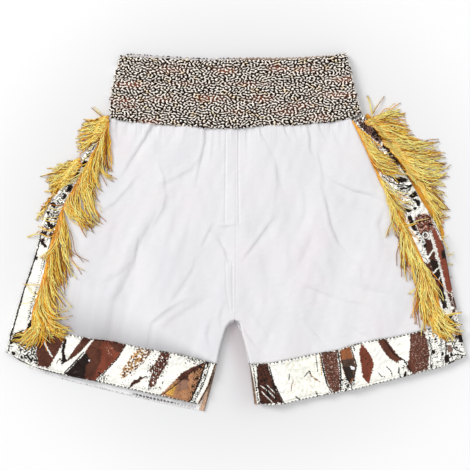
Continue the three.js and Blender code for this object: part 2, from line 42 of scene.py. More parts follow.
# ---------------------------------------------------------------- layout
# The same seam and edge lines as the CAD part, in millimetres.
EDGE = {
    "waistTopFront": [[-163.8,248.5],[-141.4,246.4],[-106.4,244.3],[-50.4,241.5],[0.0,242.2],[47.6,242.2],[103.6,244.3],[134.4,247.8],[155.4,252.0]],
    "waistTopBack": [[-163.8,249.2],[-148.4,252.0],[-106.4,249.2],[-50.4,245.7],[19.6,246.4],[75.6,246.4],[124.6,249.2],[155.4,252.0]],
    "waistBottom": [[-177.8,161.0],[-148.4,155.4],[-106.4,151.2],[-64.4,147.7],[-22.4,145.6],[0.0,145.6],[33.6,149.1],[89.6,151.2],[131.6,155.4],[159.6,159.6],[177.8,168.0]],
    "waistLeft": [[-177.8,161.0],[-178.4,177.8],[-177.4,193.2],[-173.6,211.4],[-168.0,233.8],[-163.8,249.2]],
    "waistRight": [[177.8,168.0],[173.6,179.2],[170.8,193.2],[165.2,214.2],[160.3,236.6],[155.4,252.0]],
    "stripeInLeft": [[-175.0,158.2],[-184.8,140.0],[-194.6,120.4],[-204.4,102.2],[-214.2,85.4],[-225.4,64.4],[-236.6,46.2],[-245.0,29.4],[-250.6,11.2],[-257.6,-9.8],[-263.2,-32.2],[-267.4,-51.8],[-273.0,-72.8],[-278.6,-91.0],[-284.2,-110.6],[-285.6,-128.8],[-282.8,-141.4],[-280.0,-163.8],[-277.2,-190.4]],
    "stripeOutLeft": [[-180.6,159.6],[-190.4,148.4],[-198.8,130.2],[-210.0,113.4],[-219.8,99.4],[-231.0,85.4],[-240.8,70.0],[-250.6,56.0],[-260.4,42.0],[-267.4,28.0],[-273.0,11.2],[-277.2,-9.8],[-282.8,-33.6],[-291.2,-57.4],[-296.8,-74.2],[-305.2,-100.8],[-313.6,-124.6],[-319.2,-149.8],[-323.4,-166.6]],
    "stripeBackLeft": [[-169.4,158.2],[-182.0,144.2],[-191.8,127.4],[-203.0,110.6],[-212.8,95.2],[-222.6,81.2],[-232.4,64.4],[-240.8,50.4],[-247.8,35.0],[-252.0,18.2],[-254.8,-2.8],[-259.0,-23.8],[-264.6,-44.8],[-270.2,-65.8],[-275.8,-86.8],[-282.8,-107.8],[-288.4,-128.8],[-291.2,-149.8],[-291.2,-166.6],[-289.8,-190.4]],
    "backTapeLeft": [[-186.2,161.0],[-194.6,149.8],[-203.0,133.0],[-214.2,116.2],[-224.0,102.2],[-235.2,88.2],[-245.0,72.8],[-254.8,58.8],[-264.6,44.8],[-271.6,30.8],[-277.2,15.4],[-276.5,1.4],[-271.6,-15.4],[-268.8,-30.8],[-267.4,-44.8],[-270.2,-65.8],[-275.8,-86.8],[-282.8,-107.8],[-288.4,-128.8],[-289.8,-142.8]],
    "stripeInRight": [[162.4,156.8],[170.8,140.0],[180.6,119.0],[190.4,96.6],[203.0,71.4],[214.2,51.8],[225.4,32.2],[236.6,11.2],[247.8,-14.0],[259.0,-37.8],[270.2,-64.4],[280.0,-91.0],[285.6,-112.0],[287.0,-130.2],[287.0,-144.2],[287.7,-163.8],[288.4,-188.3]],
    "stripeOutRight": [[179.2,165.9],[190.4,151.2],[201.6,134.4],[212.8,119.0],[224.0,105.0],[233.8,91.0],[243.6,75.6],[252.0,60.2],[260.4,44.8],[271.6,28.0],[281.4,11.2],[288.4,-4.2],[292.6,-22.4],[296.8,-43.4],[301.0,-67.2],[305.2,-88.2],[310.8,-109.2],[315.0,-133.0],[319.2,-154.0],[323.4,-172.2]],
    "stripeBackRight": [[169.4,161.0],[182.0,142.8],[193.2,124.6],[205.8,106.4],[217.0,91.0],[228.2,74.2],[238.0,57.4],[246.4,40.6],[256.2,22.4],[264.6,5.6],[270.2,-11.2],[274.4,-32.2],[278.6,-51.8],[282.8,-72.8],[287.0,-93.8],[291.2,-114.8],[294.0,-135.8],[295.4,-154.0],[296.8,-186.2]],
    "backTapeRight": [[184.8,168.0],[196.0,154.0],[207.2,137.2],[218.4,121.8],[229.6,107.8],[239.4,93.8],[249.2,78.4],[257.6,63.0],[266.0,47.6],[277.2,30.8],[287.0,14.0],[292.6,0.0],[289.8,-15.4],[282.8,-30.8],[280.0,-47.6],[282.8,-72.8],[287.0,-93.8],[291.2,-114.8],[294.0,-135.8]],
    "centreFront": [[-0.7,145.6],[-0.7,102.2],[-0.7,46.2],[-0.7,-9.8],[-0.7,-65.8],[-0.7,-107.8],[-2.1,-123.2]],
    "inseamFrontLeft": [[-2.1,-123.2],[-12.6,-134.4],[-21.0,-156.8],[-26.6,-183.4]],
    "inseamFrontRight": [[-2.1,-123.2],[7.0,-134.4],[14.0,-158.2],[19.6,-183.4]],
    "hemTopFrontLeft": [[-282.8,-141.4],[-260.4,-139.3],[-238.0,-140.7],[-204.4,-147.7],[-176.4,-151.2],[-148.4,-156.8],[-120.4,-162.4],[-92.4,-166.6],[-64.4,-173.6],[-43.4,-179.2],[-26.6,-183.4]],
    "hemTopFrontRight": [[19.6,-183.4],[47.6,-182.0],[68.6,-177.8],[89.6,-173.6],[117.6,-168.0],[145.6,-163.1],[159.6,-157.5],[176.4,-153.3],[198.8,-148.4],[218.4,-146.3],[236.6,-142.1],[257.6,-137.2],[287.0,-130.2]],
    "hemBottomFrontLeft": [[-277.2,-190.4],[-250.6,-197.4],[-225.4,-202.3],[-197.4,-207.9],[-162.4,-215.6],[-120.4,-225.4],[-85.4,-233.1],[-51.8,-240.8]],
    "hemBottomFrontRight": [[29.4,-239.4],[50.4,-241.5],[70.0,-239.4],[89.6,-234.5],[117.6,-228.9],[145.6,-224.0],[165.2,-219.8],[190.4,-213.5],[222.6,-205.1],[249.2,-198.1],[274.4,-191.8],[288.4,-188.3]],
    "hemInseamFrontLeft": [[-26.6,-183.4],[-36.4,-211.4],[-51.8,-240.8]],
    "hemInseamFrontRight": [[19.6,-183.4],[25.2,-211.4],[29.4,-239.4]],
    "centreBack": [[-0.7,145.6],[-0.7,102.2],[-0.7,46.2],[-0.7,-9.8],[-0.7,-65.8],[-0.7,-107.8],[-0.7,-126.0]],
    "inseamBackLeft": [[-0.7,-126.0],[-11.2,-140.0],[-19.6,-165.2],[-25.2,-194.6]],
    "inseamBackRight": [[-0.7,-126.0],[5.6,-140.0],[11.2,-161.0],[15.4,-183.4]],
    "hemTopBackLeft": [[-291.2,-149.8],[-260.4,-154.0],[-225.4,-158.2],[-190.4,-163.8],[-148.4,-172.2],[-106.4,-180.6],[-64.4,-189.0],[-25.2,-194.6]],
    "hemTopBackRight": [[15.4,-183.4],[47.6,-182.0],[89.6,-173.6],[145.6,-163.8],[198.8,-152.6],[236.6,-144.2],[295.4,-133.0]],
    "hemBottomBackLeft": [[-289.8,-190.4],[-246.4,-205.1],[-190.4,-219.1],[-120.4,-235.9],[-78.4,-245.0],[-44.8,-252.0]],
    "hemBottomBackRight": [[25.2,-240.8],[50.4,-242.2],[70.0,-240.1],[117.6,-229.6],[165.2,-220.5],[222.6,-205.8],[296.8,-186.2]],
    "hemInseamBackLeft": [[-25.2,-194.6],[-33.6,-221.2],[-44.8,-252.0]],
    "hemInseamBackRight": [[15.4,-183.4],[21.0,-212.8],[25.2,-240.8]],
}

U = 1.4          # one unit of the drawing grid, in millimetres


def G(*pts):
    """Points of the drawing grid (x across, y down the legs) as millimetres."""
    return [((x - 236.0) * U, (233.0 - y) * U) for x, y in pts]


EDGE.update({
    "inseamFrontLeft": [[-2.1, -123.2], [-7.4, -124.6], [-13.6, -132.4], [-21.0, -156.8], [-26.6, -183.4]],
    "inseamFrontRight": [[-2.1, -123.2], [4.4, -124.8], [8.2, -143.0], [13.6, -161.8], [19.6, -183.4]],
    "inseamBackLeft": [[-0.7, -126.0], [-7.6, -127.6], [-13.6, -135.0], [-21.0, -159.0], [-28.0, -187.0]],
    "hemTopBackLeft": EDGE["hemTopBackLeft"][:-2] + [[-64.4, -186.0], [-28.0, -187.0]],
    "hemInseamBackLeft": [[-28.0, -187.0], [-31.5, -202.0], [-38.0, -226.0], [-45.2, -250.8]],
    "hemBottomBackLeft": EDGE["hemBottomBackLeft"][:-1] + [[-45.2, -250.8]],
    "hemInseamBackRight": [[19.4, -183.4], [23.0, -212.8], [26.6, -240.8]],
})


def line(name, a=None, b=None):
    return [tuple(p) for p in EDGE[name][a:b]]


def resample(pts, n):
    p = np.array(pts, float)
    d = np.r_[0, np.cumsum(np.hypot(*np.diff(p, axis=0).T))]
    t = np.linspace(0, d[-1], n)
    return np.c_[np.interp(t, d, p[:, 0]), np.interp(t, d, p[:, 1])]


def smooth(pts, n, rounds=2):
    """A polyline with its corners eased, its ends kept."""
    p = resample(pts, max(n, 8))
    k = max(1, n // 60)
    for _ in range(rounds * k):
        p[1:-1] = 0.25 * p[:-2] + 0.5 * p[1:-1] + 0.25 * p[2:]
    return p


def coons(top, bottom, left, right, nu, nv):
    """A grid of plan positions between four edge lines; top and bottom run left to right, left and right run down."""
    T, B = smooth(top, nu), smooth(bottom, nu)
    L, R = smooth(left, nv), smooth(right, nv)
    L[0], L[-1], R[0], R[-1] = T[0], B[0], T[-1], B[-1]
    u = np.linspace(0, 1, nu)[:, None, None]
    v = np.linspace(0, 1, nv)[None, :, None]
    P = (1 - v) * T[:, None] + v * B[:, None] + (1 - u) * L[None] + u * R[None]
    P -= (1 - u) * (1 - v) * T[0] + u * (1 - v) * T[-1] + (1 - u) * v * B[0] + u * v * B[-1]
    return P


def to_line(X, Y, pts):
    """Distance to a polyline, signed distance (left of it is positive), and the share of its length reached."""
    p = np.array(pts, float)
    seg = np.hypot(*np.diff(p, axis=0).T)
    total = seg.sum()
    best = np.full(X.shape, 1e9)
    sign = np.zeros(X.shape)
    share = np.zeros(X.shape)
    done = 0.0
    for i in range(len(seg)):
        ax, ay = p[i]
        dx, dy = (p[i + 1] - p[i]) / max(seg[i], 1e-9)
        t = np.clip((X - ax) * dx + (Y - ay) * dy, 0, seg[i])
        qx, qy = X - ax - t * dx, Y - ay - t * dy
        d = np.hypot(qx, qy)
        m = d < best
        best = np.where(m, d, best)
        sign = np.where(m, np.sign(dx * qy - dy * qx), sign)
        share = np.where(m, (done + t) / total, share)
        done += seg[i]
    return best, best * sign, share


def inside(X, Y, pts):
    """Signed distance to a closed outline: positive inside."""
    p = list(pts) + [pts[0]]
    hit = np.zeros(X.shape, bool)
    for (x0, y0), (x1, y1) in zip(p[:-1], p[1:]):
        if y0 == y1:
            continue
        c = ((y0 > Y) != (y1 > Y)) & (X < (x1 - x0) * (Y - y0) / (y1 - y0) + x0)
        hit ^= c
    d = to_line(X, Y, p)[0]
    return np.where(hit, d, -d)


def step(x, a, b):
    t = np.clip((x - a) / (b - a), 0, 1)
    return t * t * (3 - 2 * t)


class Waves:
    """A smooth random field: a sum of plane waves with wavelengths between lo and hi millimetres."""

    def __init__(self, seed, lo, hi, n=24, angle=None, spread=math.pi):
        r = np.random.default_rng(seed)
        lam = lo * (hi / lo) ** r.random(n)
        th = (r.random(n) * math.pi if angle is None else angle + (r.random(n) - 0.5) * 2 * spread)
        self.k = np.c_[np.cos(th), np.sin(th)] * (2 * math.pi / lam)[:, None]
        self.p = r.random(n) * 2 * math.pi
        self.a = (lam / hi) ** 0.6
        self.a /= math.sqrt((self.a ** 2).sum() / 2)

    def __call__(self, X, Y):
        out = np.zeros(X.shape)
        for (kx, ky), p, a in zip(self.k, self.p, self.a):
            out += a * np.sin(kx * X + ky * Y + p)
        return out


class Field:
    """Band-passed noise on a fixed millimetre grid, sampled anywhere: short curls and crumples of one size."""

    def __init__(self, seed, lo, hi, box, pitch=0.5, stretch=1.0):
        x0, y0, x1, y1 = box
        self.o, self.d = (x0, y0), pitch
        nx, ny = int((x1 - x0) / pitch) + 2, int((y1 - y0) / pitch) + 2
        r = np.random.default_rng(seed)
        f = np.fft.rfft2(r.standard_normal((nx, ny)))
        kx = np.fft.fftfreq(nx, pitch)[:, None]
        ky = np.fft.rfftfreq(ny, pitch)[None, :] * stretch
        k = np.hypot(kx, ky)
        band = np.exp(-(((k - 1 / math.sqrt(lo * hi)) / (0.5 * (1 / lo - 1 / hi) + 1e-9)) ** 2))
        g = np.fft.irfft2(f * band, s=(nx, ny))
        self.g = g / g.std()

    def __call__(self, X, Y):
        u = np.clip((X - self.o[0]) / self.d, 0, self.g.shape[0] - 1.001)
        v = np.clip((Y - self.o[1]) / self.d, 0, self.g.shape[1] - 1.001)
        i, j = u.astype(int), v.astype(int)
        a, b = u - i, v - j
        g = self.g
        return (g[i, j] * (1 - a) * (1 - b) + g[i + 1, j] * a * (1 - b)
                + g[i, j + 1] * (1 - a) * b + g[i + 1, j + 1] * a * b)


def srgb(r, g, b):
    c = np.array([r, g, b], float) / 255
    return np.where(c <= 0.04045, c / 12.92, ((c + 0.055) / 1.055) ** 2.4)


# ---------------------------------------------------------------- heights
# Creases: points on the grid, half-width in grid units, depth in millimetres (negative is a ridge), kind.
# "p" creases start at full depth at the waistband and die away; "f" creases fade at both ends.
CREASES = [
    ("p", 2.2, 1.9, (153, 126), (147, 138), (139, 150), (131, 163), (121, 180)),
    ("p", 2.0, 0.7, (118, 121), (117, 137)),
    ("p", 2.0, 0.5, (128, 122), (126, 137)),
    ("p", 2.2, 0.4, (140, 123), (136, 139)),
    ("p", 1.9, 1.5, (206, 128), (206, 142), (203, 155), (199, 172), (195, 192)),
    ("p", 1.6, 0.6, (214, 129), (213, 145), (212, 164)),
    ("p", 1.4, 0.6, (221, 129), (221, 152)),
    ("p", 1.5, 0.5, (246, 128), (247, 145), (246, 162)),
    ("p", 1.5, 1.5, (260, 127), (262, 135), (269, 145)),
    ("f", 2.8, 0.9, (266, 140), (276, 158), (279, 175), (285, 194)),
    ("p", 1.5, 1.1, (284, 125), (287, 134), (293, 143)),
    ("p", 1.6, 0.6, (293, 125), (296, 133), (299, 144)),
    ("p", 1.3, 1.1, (301, 124), (303, 133)),
    ("p", 1.9, 1.4, (308, 125), (311, 137), (311, 148), (317, 162)),
    ("p", 1.6, 1.0, (318, 123), (323, 133), (330, 145)),
    ("p", 2.0, 0.6, (330, 121), (337, 138), (346, 154)),
    ("p", 1.5, 0.4, (340, 120), (343, 132)),
    ("p", 2.6, 0.6, (176, 125), (172, 138), (164, 152)),
    ("p", 2.0, 0.5, (188, 126), (184, 147)),
    ("p", 2.2, 0.4, (165, 124), (158, 142)),
    ("f", 5.0, 1.9, (165, 200), (150, 228), (138, 250), (133, 268), (124, 288), (106, 316)),
    ("f", 2.6, -0.9, (160, 180), (165, 195), (162, 208), (150, 228)),
    ("f", 1.8, -0.7, (157, 163), (163, 177), (164, 190)),
    ("f", 2.6, -0.7, (206, 148), (190, 168), (170, 179), (150, 186)),
    ("f", 2.6, -1.1, (190, 295), (166, 309), (138, 331)),
    ("f", 4.5, 1.0, (214, 296), (192, 308), (172, 322), (158, 338)),
    ("f", 1.6, -0.6, (212, 221), (222, 226), (240, 223)),
    ("f", 1.9, 1.2, (208, 230), (219, 238), (226, 251), (230, 266)),
    ("f", 1.6, 0.6, (214, 224), (208, 235), (202, 248)),
    ("f", 2.2, -0.6, (196, 252), (190, 270), (180, 286), (168, 302)),
    ("f", 1.7, 0.9, (140, 234), (137, 252), (134, 272)),
    ("f", 2.4, 2.0, (90, 335), (108, 335), (122, 330), (134, 323)),
    ("f", 2.2, -0.8, (96, 213), (114, 202), (128, 186), (138, 173)),
    ("f", 4.0, 0.8, (98, 287), (118, 277), (136, 262)),
    ("f", 2.4, 1.5, (316, 169), (335, 184), (352, 192), (370, 196), (388, 204)),
    ("f", 2.2, 1.5, (321, 180), (328, 205), (332, 225), (340, 243), (352, 255), (362, 259)),
    ("f", 2.0, 0.7, (317, 148), (322, 165), (325, 182)),
    ("f", 2.0, 1.0, (277, 215), (262, 236), (250, 252), (241, 264)),
    ("f", 3.2, -0.7, (275, 158), (275, 185), (271, 208)),
    ("f", 3.0, 0.6, (299, 178), (306, 195), (306, 215), (299, 232)),
    ("f", 5.0, 1.0, (317, 226), (310, 245), (302, 262), (294, 278)),
    ("f", 5.0, 1.3, (328, 260), (345, 280), (362, 290), (394, 297)),
    ("f", 2.0, 1.0, (302, 286), (320, 293), (337, 301)),
    ("f", 2.6, -0.8, (304, 281), (320, 284), (345, 299), (374, 305)),
    ("f", 3.0, -0.6, (350, 254), (360, 270), (358, 287)),
    ("f", 1.8, 1.1, (238, 321), (248, 335), (256, 345), (268, 354)),
    ("f", 2.2, 0.6, (249, 310), (262, 325), (273, 340)),
    ("f", 2.0, 0.8, (303, 318), (318, 335), (329, 347)),
    ("f", 2.0, 0.8, (343, 323), (358, 333), (372, 340)),
    ("f", 3.0, 1.0, (386, 207), (380, 225), (385, 243)),
    ("f", 3.0, 0.9, (213, 318), (208, 335), (212, 352)),
    ("f", 2.0, 0.6, (226, 300), (221, 316), (222, 332)),
    ("f", 6.0, 0.9, (262, 255), (270, 280), (268, 306)),
    ("f", 5.0, -0.7, (285, 232), (286, 262), (282, 292)),
    ("f", 4.5, 0.6, (115, 222), (112, 245), (104, 262)),
    ("f", 4.0, 0.7, (178, 205), (174, 230), (166, 250)),
    ("f", 4.0, -0.6, (188, 212), (182, 238), (174, 262)),
]
CREASES = [(k, w * U, a, G(*pts)) for k, w, a, *pts in CREASES]
LEAN = (-0.79, 0.61)
drape = Waves(11, 45, 150, 22, angle=0.15, spread=0.75)
ripple = Waves(12, 14, 38, 30, angle=0.25, spread=0.9)
grain = Waves(13, 6, 12, 30)


def cloth(X, Y):
    """Height of the satin above its mean level, in millimetres."""
    h = 0.75 * drape(X, Y) + 0.16 * ripple(X, Y) * (1 + 0.5 * np.tanh(drape(Y * 1.3, X))) + 0.03 * grain(X, Y)
    for kind, w, a, pts in CREASES:
        p = np.array(pts)
        lo, hi = p.min(0) - 6.5 * w, p.max(0) + 6.5 * w
        m = (X > lo[0]) & (X < hi[0]) & (Y > lo[1]) & (Y < hi[1])
        if not m.any():
            continue
        d, s, t = to_line(X[m], Y[m], pts)
        fade = (1 - t) ** 0.7 if kind == "p" else np.sin(np.pi * np.clip(t, 0, 1)) ** 0.8
        past = np.exp(-np.maximum(d - 4.5 * w, 0) / w)
        # one wall of each fold is steep and the other leans back
        q = p[-1] - p[0]
        lean = 1.0 if (-q[1] * LEAN[0] + q[0] * LEAN[1]) * a > 0 else -1.0
        near, far = 0.72 * w, 2.3 * w
        ws = np.where(s * lean > 0, near, far)
        h[m] += fade * past * (-a * np.exp(-(s / ws) ** 2) + 0.35 * a * np.exp(-((s * lean - 1.9 * w) / (1.0 * w)) ** 2))
    # fine gathers just under the waistband
    top = to_line(X, Y, line("waistBottom"))[0]
    g = np.sin(X * 0.55 + 2.2 * np.sin(X * 0.07)) + 0.7 * np.sin(X * 0.93 + 1.3) + 0.5 * np.sin(X * 1.6 + 0.4)
    h += 0.30 * g * np.exp(-top / 13.0) * (0.6 + 0.4 * np.sin(X * 0.045 + 1))
    return h


def front_level(X, Y):
    """Mean height of the front layer: fullest in the legs, lower at the hems."""
    fall = step(Y, -230, 120)
    return 8.8 + 1.6 * fall + 0.9 * np.exp(-((X / 95) ** 2 + ((Y + 10) / 120) ** 2))


INSEAM_L = line("inseamFrontLeft") + line("hemInseamFrontLeft")[1:]
INSEAM_R = line("inseamFrontRight") + line("hemInseamFrontRight")[1:]
CENTRE = line("centreFront")


def roll(d, r):
    """1 on the flat, falling to 0 at a folded edge."""
    return np.sqrt(np.clip(1 - (1 - np.clip(d / r, 0, 1)) ** 2, 0, 1))


def front_z(X, Y, seams=()):
    z = front_level(X, Y) + cloth(X, Y)
    for pts, depth, w in seams:
        d = to_line(X, Y, pts)[0]
        z -= depth * np.exp(-(d / w) ** 2)
    d = np.minimum(to_line(X, Y, INSEAM_L)[0], to_line(X, Y, INSEAM_R)[0])
    r = roll(d, 3.6)
    return 3.2 + (z - 3.2) * (0.30 + 0.70 * r)


# ---------------------------------------------------------------- meshes
def grid_mesh(name, P, colour=None, attrs=None):
    """P is an (nu, nv, 3) grid in millimetres."""
    nu, nv = P.shape[:2]
    me = bpy.data.meshes.new(name)
    idx = np.arange(nu * nv).reshape(nu, nv)
    f = np.stack([idx[:-1, :-1], idx[:-1, 1:], idx[1:, 1:], idx[1:, :-1]], -1).reshape(-1, 4)
    n = P[len(P) // 2, nv // 2]
    return mesh_from(name, P.reshape(-1, 3), f, colour, attrs)


def mesh_from(name, co, faces, colour=None, attrs=None):
    me = bpy.data.meshes.new(name)
    faces = np.asarray(faces)
    k = faces.shape[1]
    me.vertices.add(len(co))
    me.vertices.foreach_set("co", (np.asarray(co, float) * 0.001).astype(np.float32).ravel())
    me.loops.add(len(faces) * k)
    me.loops.foreach_set("vertex_index", faces.astype(np.int32).ravel())
    me.polygons.add(len(faces))
    me.polygons.foreach_set("loop_start", np.arange(0, len(faces) * k, k, dtype=np.int32))
    me.polygons.foreach_set("loop_total", np.full(len(faces), k, np.int32))
    me.polygons.foreach_set("use_smooth", np.ones(len(faces), bool))
    me.update(calc_edges=True)
    me.validate()
    if colour is not None:
        a = me.color_attributes.new("Tint", "FLOAT_COLOR", "POINT")
        c = np.ones((len(co), 4), np.float32)
        c[:, :3] = np.clip(np.asarray(colour).reshape(-1, 3), 0, 1)
        a.data.foreach_set("color", c.ravel())
    for key, val in (attrs or {}).items():
        a = me.attributes.new(key, "FLOAT", "POINT")
        a.data.foreach_set("value", np.asarray(val, np.float32).ravel())
    o = bpy.data.objects.new(name, me)
    bpy.context.scene.collection.objects.link(o)
    return o


def face_up(o, up=True):
    """Turns the faces so that most look up (or down)."""
    me = o.data
    n = np.zeros(len(me.polygons) * 3)
    me.polygons.foreach_get("normal", n)
    if (n.reshape(-1, 3)[:, 2].mean() > 0) != up:
        me.flip_normals()
    return o


def thicken(o, mm, offset=-1):
    m = o.modifiers.new("cloth thickness", "SOLIDIFY")
    m.thickness = mm * 0.001
    m.offset = offset
    m.use_even_offset = False
    m.use_quality_normals = False
    return o


def plan_area(P):
    a = P[1:, :-1, :2] - P[:-1, 1:, :2]
    b = P[1:, 1:, :2] - P[:-1, :-1, :2]
    return float(np.abs(a[..., 0] * b[..., 1] - a[..., 1] * b[..., 0]).sum() / 2) * 1e-6


def real_area(P):
    a = P[1:, :-1] - P[:-1, 1:]
    b = P[1:, 1:] - P[:-1, :-1]
    return float(np.linalg.norm(np.cross(a, b), axis=-1).sum() / 2) * 1e-6


def declare(P, flat=None, full=1.0):
    """Works out what the piece was cut to before it was sewn and laid down; nothing is kept or passed on."""
    area = real_area(P) * full
    if flat is None:
        w = np.ptp(P[..., 0]) * 0.001
        l = np.ptp(P[..., 1]) * 0.001
        w, l = w * math.sqrt(full) * 1.01, l * math.sqrt(full) * 1.01
        if area > w * l:
            w *= area / (w * l) * 1.002
    else:
        w, l = flat
        if w is None:
            w = area / l
    area = min(area, w * l)


# ---------------------------------------------------------------- materials
def material(name, base=(0.8, 0.8, 0.8), rough=0.5, metal=0.0, sheen=0.0, coat=0.0, spec=0.5, aniso=0.0):
    m = bpy.data.materials.new(name)
    m.use_nodes = True
    nt = m.node_tree
    bsdf = nt.nodes["Principled BSDF"]
    bsdf.inputs["Base Color"].default_value = (*base, 1)
    bsdf.inputs["Roughness"].default_value = rough
    bsdf.inputs["Metallic"].default_value = metal
    bsdf.inputs["Sheen Weight"].default_value = sheen
    bsdf.inputs["Coat Weight"].default_value = coat
    bsdf.inputs["Specular IOR Level"].default_value = spec
    bsdf.inputs["Anisotropic"].default_value = aniso
    return m, nt, bsdf


def node(nt, kind, **inputs):
    n = nt.nodes.new(kind)
    for k, v in inputs.items():
        k = k.replace("_", " ")
        if k in n.inputs:
            n.inputs[k].default_value = v
    return n


def ramp(nt, fac, stops, interp="LINEAR"):
    r = nt.nodes.new("ShaderNodeValToRGB")
    r.color_ramp.interpolation = interp
    while len(r.color_ramp.elements) < len(stops):
        r.color_ramp.elements.new(0.5)
    for e, (p, c) in zip(r.color_ramp.elements, stops):
        e.position = p
        e.color = (*c, 1) if len(c) == 3 else c
    nt.links.new(fac, r.inputs[0])
    return r


def coords(nt, scale=(1, 1, 1), rot=(0, 0, 0)):
    tc = nt.nodes.new("ShaderNodeTexCoord")
    mp = nt.nodes.new("ShaderNodeMapping")
    mp.inputs["Scale"].default_value = scale
    mp.inputs["Rotation"].default_value = rot
    nt.links.new(tc.outputs["Object"], mp.inputs["Vector"])
    return mp.outputs["Vector"]


def bump(nt, bsdf, height, strength, distance, chain=None):
    b = nt.nodes.new("ShaderNodeBump")
    b.inputs["Strength"].default_value = strength
    b.inputs["Distance"].default_value = distance
    nt.links.new(height, b.inputs["Height"])
    if chain is not None:
        nt.links.new(chain, b.inputs["Normal"])
    nt.links.new(b.outputs["Normal"], bsdf.inputs["Normal"])
    return b.outputs["Normal"]


def mix(nt, fac, a, b, blend="MIX"):
    m = nt.nodes.new("ShaderNodeMix")
    m.data_type = "RGBA"
    m.blend_type = blend
    if isinstance(fac, (int, float)):
        m.inputs[0].default_value = fac
    else:
        nt.links.new(fac, m.inputs[0])
    for sock, val in ((m.inputs[6], a), (m.inputs[7], b)):
        if isinstance(val, (tuple, list)):
            sock.default_value = (*val, 1)
        else:
            nt.links.new(val, sock)
    return m.outputs[2]


def satin_material():
    m, nt, bsdf = material("white_satin", (0.80, 0.79, 0.82), 0.48, sheen=0.05, spec=0.22, aniso=0.3)
    bsdf.inputs["Sheen Roughness"].default_value = 0.4
    v = coords(nt, (1, 1, 1))
    big = node(nt, "ShaderNodeTexNoise", Scale=14.0, Detail=2.0, Roughness=0.5)
    nt.links.new(v, big.inputs["Vector"])
    tint = ramp(nt, big.outputs["Fac"], [(0.35, tuple(srgb(222, 221, 224))), (0.52, tuple(srgb(225, 224, 225))), (0.68, tuple(srgb(227, 223, 225)))])
    nt.links.new(tint.outputs["Color"], bsdf.inputs["Base Color"])
    # warp and weft
    warp = node(nt, "ShaderNodeTexWave", Scale=1.0, Distortion=0.4, Detail=1.0)
    warp.bands_direction = "X"
    wv = coords(nt, (520, 520, 520))
    nt.links.new(wv, warp.inputs["Vector"])
    fine = node(nt, "ShaderNodeTexNoise", Scale=700.0, Detail=2.0)
    nt.links.new(v, fine.inputs["Vector"])
    n1 = bump(nt, bsdf, warp.outputs["Fac"], 0.05, 0.0002)
    n2 = bump(nt, bsdf, fine.outputs["Fac"], 0.06, 0.0002, n1)
    rr = ramp(nt, fine.outputs["Fac"], [(0.3, (0.42,) * 3), (0.7, (0.54,) * 3)])
    nt.links.new(rr.outputs["Color"], bsdf.inputs["Roughness"])
    return m


def foil_material(name, rough=0.22, metal=0.75, speck=0.5, crinkle=0.35, spec=0.5, coat=0.12):
    """Mirror foil on cloth; its broad light and dark bands, painted reflections, are in the Tint attribute, the fine
    crackle is here.
    """
    m, nt, bsdf = material(name, (0.6, 0.5, 0.4), rough, metal=metal, spec=spec, coat=coat)
    bsdf.inputs["Coat Roughness"].default_value = 0.15
    at = nt.nodes.new("ShaderNodeAttribute")
    at.attribute_name = "Tint"
    v = coords(nt, (1, 1, 1))
    n = node(nt, "ShaderNodeTexNoise", Scale=420.0, Detail=3.0, Roughness=0.6)
    nt.links.new(v, n.inputs["Vector"])
    r = ramp(nt, n.outputs["Fac"], [(0.30, (0.72,) * 3), (0.5, (1.0,) * 3), (0.72, (1.12,) * 3)])
    col = mix(nt, speck, at.outputs["Color"], r.outputs["Color"], "MULTIPLY")
    nt.links.new(col, bsdf.inputs["Base Color"])
    vor = node(nt, "ShaderNodeTexVoronoi", Scale=420.0)
    vor.feature = "DISTANCE_TO_EDGE"
    nt.links.new(v, vor.inputs["Vector"])
    n1 = bump(nt, bsdf, n.outputs["Fac"], crinkle, 0.0004)
    bump(nt, bsdf, vor.outputs["Distance"], crinkle * 0.6, 0.0003, n1)
    rr = ramp(nt, n.outputs["Fac"], [(0.3, (rough * 0.7,) * 3), (0.7, (rough * 1.5,) * 3)])
    nt.links.new(rr.outputs["Color"], bsdf.inputs["Roughness"])
    return m


def fringe_material():
    m, nt, bsdf = material("yellow_rayon", (0.8, 0.45, 0.04), 0.45, sheen=1.0, spec=0.12)
    bsdf.inputs["Sheen Tint"].default_value = (1.0, 0.62, 0.16, 1)
    bsdf.inputs["Sheen Roughness"].default_value = 0.45
    at = nt.nodes.new("ShaderNodeAttribute")
    at.attribute_name = "Tint"
    v = coords(nt, (1, 1, 1))
    n = node(nt, "ShaderNodeTexNoise", Scale=1100.0, Detail=2.0)
    nt.links.new(v, n.inputs["Vector"])
    r = ramp(nt, n.outputs["Fac"], [(0.3, (0.86, 0.80, 0.68)), (0.52, (1.04, 1.02, 1.0)), (0.75, (1.16, 1.16, 1.2))])
    nt.links.new(mix(nt, 0.8, at.outputs["Color"], r.outputs["Color"], "MULTIPLY"), bsdf.inputs["Base Color"])
    tw = node(nt, "ShaderNodeTexWave", Scale=1.0, Distortion=2.0)
    tw.bands_direction = "DIAGONAL"
    wv = coords(nt, (1400, 1400, 1400))
    nt.links.new(wv, tw.inputs["Vector"])
    bump(nt, bsdf, tw.outputs["Fac"], 0.5, 0.0003)
    return m


